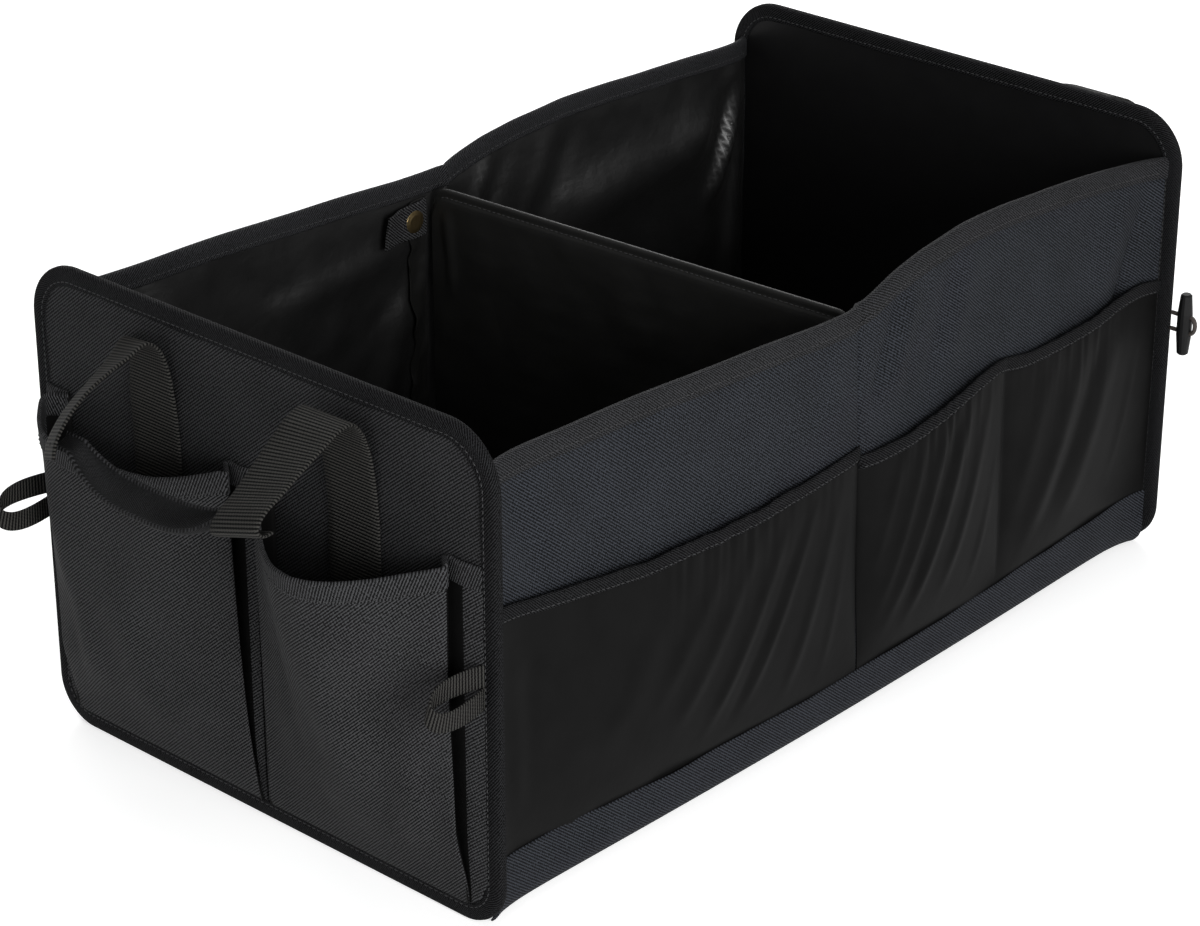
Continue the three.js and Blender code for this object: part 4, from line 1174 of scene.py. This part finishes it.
def end_pocket_hem(grid, uv, normal):
    """Points and UVs of the folded hem along the mouth, its weave turned a little."""
    sine, cosine = math.sin(HEM_WEAVE_TURN), math.cos(HEM_WEAVE_TURN)
    depths = np.linspace(HEM_WIDTH, -0.6, 9)
    hem, hem_uv = [], []
    for line, facing, along in zip(grid, normal, uv[:, -1, 0]):
        top = line[-1, 2]
        z = top - depths
        point = sample(np.minimum(z, top), line[:, 2], line[:, :2])
        out = sample(z, line[:, 2], facing)
        hem.append(np.column_stack([point, z]) + out * 0.8)
        hem_uv.append(np.column_stack([along * cosine - z * sine, along * sine + z * cosine]))
    return np.array(hem), hem_uv


def darken_gussets(mesh, grid):
    """The darker nylon cloth on the faces of the two pleats, which makes them show dark."""
    mesh.materials.append(MATERIALS["nylon"])
    ring = 2 * grid.shape[1] + 2
    for face in mesh.polygons:
        column = face.index // ring
        outer = OUTER_GUSSET[0] <= column < OUTER_GUSSET[1]
        inner = len(grid) - INNER_GUSSET[0] <= column < len(grid) - INNER_GUSSET[1]
        face.material_index = int(outer or inner)


def add_end_pocket(name, spec):
    """A pleated pocket, flat at its foot and deep at its mouth. Gives back the stitches of its hem."""
    grid, uv = end_pocket_grid(spec)
    mesh = cloth(f"{name}_end_pocket", grid, uv, TWILL, (-1, 0, 0))
    pocket = add_piece(mesh.name, mesh, "lit_panel_uv", stands_for=[f"near_pocket_{name}"])
    darken_gussets(mesh, grid)
    normal = surface_normals(grid)
    normal *= np.sign((normal * np.array([-1.0, 0, 0])).sum())
    hem, hem_uv = end_pocket_hem(grid, uv, normal)
    mesh = cloth(f"{name}_end_pocket_hem", hem, hem_uv, 2.6, (-1, 0, 0))
    hem_piece = add_piece(mesh.name, mesh, "lit_panel_uv")
    return stitch_line(hem[STITCHED_COLUMNS, 1], normal[STITCHED_COLUMNS, -1])


end_pocket_stitches = {name: add_end_pocket(name, spec) for name, spec in END_POCKETS.items()}


# Handles and loops


def smooth_path(points, count):
    """A smooth line of evenly spaced points through a few given ones."""
    points = np.asarray(points, float)
    arc = arc_lengths(points)
    fine = np.linspace(0, arc[-1], count)
    return np.stack([catmull(arc, column, fine) for column in points.T], axis=1)


def catmull(knots, values, where):
    """Cubic interpolation with finite-difference slopes."""
    slope = np.gradient(values, knots)
    index = np.clip(np.searchsorted(knots, where, side="right") - 1, 0, len(knots) - 2)
    h = knots[index + 1] - knots[index]
    t = (where - knots[index]) / h
    a = values[index] * (2 * t ** 3 - 3 * t ** 2 + 1) + values[index + 1] * (-2 * t ** 3 + 3 * t ** 2)
    b = slope[index] * (t ** 3 - 2 * t ** 2 + t) * h + slope[index + 1] * (t ** 3 - t ** 2) * h
    return a + b


def ribbon(name, left, right, thickness, outward):
    """A woven band between two edge lines."""
    left, right = np.asarray(left, float), np.asarray(right, float)
    share = np.linspace(0, 1, 9)
    grid = left[:, None, :] + (right - left)[:, None, :] * share[None, :, None]
    arc = arc_lengths((left + right) / 2)
    width = np.linalg.norm(right - left, axis=1).mean()
    uv = flat_map(arc[:, None], share * width)
    normal = surface_normals(grid)
    if (normal[0] * np.asarray(outward, float)).sum() < 0:
        normal = -normal
    facing = normal.mean(axis=(0, 1)) if abs(normal.mean()) > 1e-3 else outward
    return cloth(name, grid + normal * thickness / 2, uv, thickness, facing)


def add_ribbon(name, left, right, thickness, outward, stands_for):
    mesh = ribbon(name, left, right, thickness, outward)
    piece = add_piece(name, mesh, "webbing", stands_for=[stands_for])


STRAP_BACK = ((0.3, 150), (0.3, 190), (0.6, 229), (2.5, 250), (6, 270), (11, 282))
STRAP_LEVEL = (0.0, 1.0, 0.0)
STRAPS = {
    "right": {
        "near_edge": -98.5,
        "front": ((17, 288.5), (25, 288.5), (40, 282), (56, 274), (71, 266), (79, 262), (85, 257), (87, 252),
                  (83, 248), (76, 248)),
        "turn": (0.55, 0.9),
        "turned": (0.0, 0.95, -0.3),
    },
    "left": {
        "near_edge": 60.3,
        "front": ((17.7, 288), (35.7, 284), (50.7, 279.5), (60.7, 275.5), (70.7, 269.5), (80.7, 261),
                  (88, 251),
                  (90, 243)),
        "turn": (0.34, 0.82),
        "turned": (0.47, 0.78, -0.41),
    },
}


def add_strap(label, end, hand):
    """Webbing that is sewn flat on the panel, turns over and comes down to the grip."""
    spec = STRAPS[hand]
    first = spec["near_edge"] if end < 0 else -spec["near_edge"] - STRAP_WIDTH
    points = [(end * (COVER_FACE + 1.2 + d), first, z) for d, z in STRAP_BACK + spec["front"]]
    near = smooth_path(points, 110)
    t = np.linspace(0, 1, len(near))
    turn = smoothstep(t, *spec["turn"])[:, None] * (end < 0)
    across = lerp(np.array(STRAP_LEVEL), np.array(spec["turned"]), turn)
    across /= np.linalg.norm(across, axis=1, keepdims=True)
    add_ribbon(f"{label}_strap_{hand}", near, near + across * STRAP_WIDTH, 1.7, (end, 0, 0),
               f"{label}_handle_{hand}_strap")


def add_grip(label, end):
    """The twill sleeve between the straps: a curled band, open upward, that narrows at its ends."""
    turns = 22
    angle = np.linspace(0.02, math.pi - 0.02, turns)
    rings, uv = [], []
    for y in np.linspace(-74, 74, 60):
        to_end = min(1.0, abs(y) / 60) ** 3
        chord, depth = lerp(21.0, 15.0, to_end), lerp(9.0, 4.5, to_end)
        droop = 15.0 * (1 - to_end)
        middle = lerp(77.5, 75.0, to_end)
        tip = math.radians(lerp(30, 12, to_end))
        flat, sunk = -np.cos(angle) * chord / 2, -np.sin(angle) * depth
        out = middle + flat * math.cos(tip) + sunk * math.sin(tip)
        z = 246 - droop - flat * math.sin(tip) + sunk * math.cos(tip) + 0.6 * np.sin(y / 8.0) * np.sin(angle)
        rings.append(np.stack([end * (COVER_FACE + out), np.full(turns, y), z], axis=1))
        uv.append(np.stack([np.full(turns, y), angle * 15], axis=1))
    add_sheet(f"{label}_grip_sleeve", rings, uv, 2.6, (0, 0, -1), "grip", f"{label}_handle_grip")


def add_side_loop(hand, side):
    """A narrow webbing loop whose two ends are sewn one above the other on the panel's edge."""
    t = np.linspace(0, 1, 80)
    reach = 42 * np.sin(math.pi * t) ** 0.75
    open_half = 6 * np.cos(math.pi * t) * np.sin(math.pi * t) ** 0.5
    height = 153.5 + (6.6 + 3.4 * np.sin(math.pi * t)) * np.cos(math.pi * t)
    middle = np.stack([-HALF_LENGTH - 0.8 - reach, side * 175 + open_half, height], axis=1)
    lean = np.sin(math.pi * t) ** 2 * 0.35
    up = np.stack([0 * t, -lean, np.sqrt(1 - lean ** 2)], axis=1) * LOOP_WIDTH / 2
    add_ribbon(f"{hand}_side_loop", middle - up, middle + up, 1.1, (0, 1, 0), f"near_loop_{hand}")


for handle_label, handle_end in ENDS:
    for strap_hand in ("left", "right"):
        add_strap(handle_label, handle_end, strap_hand)
    add_grip(handle_label, handle_end)
add_side_loop("left", 1)
add_side_loop("right", -1)


# Stitched seams


def panel_stitches(end):
    """The seam through the binding tape, on both faces of the panel."""
    points, directions, _ = OUTLINE
    yz = points - STITCH_INSET * directions
    stitches = []
    for x, facing in ((HALF_LENGTH - 0.1, 1), (HALF_LENGTH - PANEL_THICKNESS + 0.2, -1)):
        line = np.column_stack([np.full(len(yz), end * x), yz])
        stitches += stitch_line(np.concatenate([line, line[:1]]), (end * facing, 0, 0))
    return stitches


def wall_stitches(side):
    """The seams of the top hem, on both faces, and of the elastic bands."""
    x = np.linspace(-WALL_END + 3, WALL_END - 3, 200)
    z = wall_top(x) - STITCH_INSET
    stitches = []
    for lift, facing in ((1.75, 1), (-3.65, -1)):
        stitches += stitch_line(on_side(side, x, wall_face(x, z) + lift, z), (0, side * facing, 0))
    for pocket in POCKETS.values():
        x = np.linspace(pocket["from"] + 2, pocket["to"] - 2, 160)
        top = pocket_top(pocket, x)
        z = top - 7.6
        lift = pocket_lift(pocket, x, np.ones_like(x), top) + POCKET_BACK + 1.65
        stitches += stitch_line(on_side(side, x, wall_face(x, z) + lift, z), (0, side, 0))
    return stitches


for pocket_name, hem_stitches in end_pocket_stitches.items():
    add_stitches(f"{pocket_name}_pocket_stitches", hem_stitches)
for panel_label, panel_end in ENDS:
    add_stitches(f"{panel_label}_panel_stitches", panel_stitches(panel_end))
for wall_label, wall_side in SIDES:
    add_stitches(f"{wall_label}_wall_stitches", wall_stitches(wall_side))


# Materials of the CAD nodes that stay

NODE_MATERIALS = {
    "panel_cover": "panel",
    "panel_lining": "panel_lining",
    "board": "board",
    "base_cover": "panel",
    "snap_cap": "brass",
    "snap_stud": "brass",
    "toggle_cord": "cord",
    "toggle": "plastic",
}


def finish_nodes():
    for name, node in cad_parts.items():
        key = next((part for part in NODE_MATERIALS if part in name), None)
        if key:
            node.data.materials.clear()
            node.data.materials.append(MATERIALS[NODE_MATERIALS[key]])
            node.data.shade_smooth()
            node.data.set_sharp_from_angle(angle=math.radians(40))


finish_nodes()

add_camera()
light_world()
add_floor()
add_softbox("key", (-1.1, -2.4, 0.9), (-0.1, -0.05, 0.12), (1.1, 1.1), 80)
add_softbox("side", (-2.2, -1.0, 0.45), (-0.3, 0, 0.1), (1.2, 0.7), 12)
add_softbox("back", (1.9, 1.9, 1.3), (0, 0, 0.15), (1.3, 1.3), 46)
add_softbox("top", (0.3, 0.4, 2.7), (0, 0, 0.1), (1.8, 1.8), 24)

bpy.context.scene.view_settings.view_transform = "Standard"
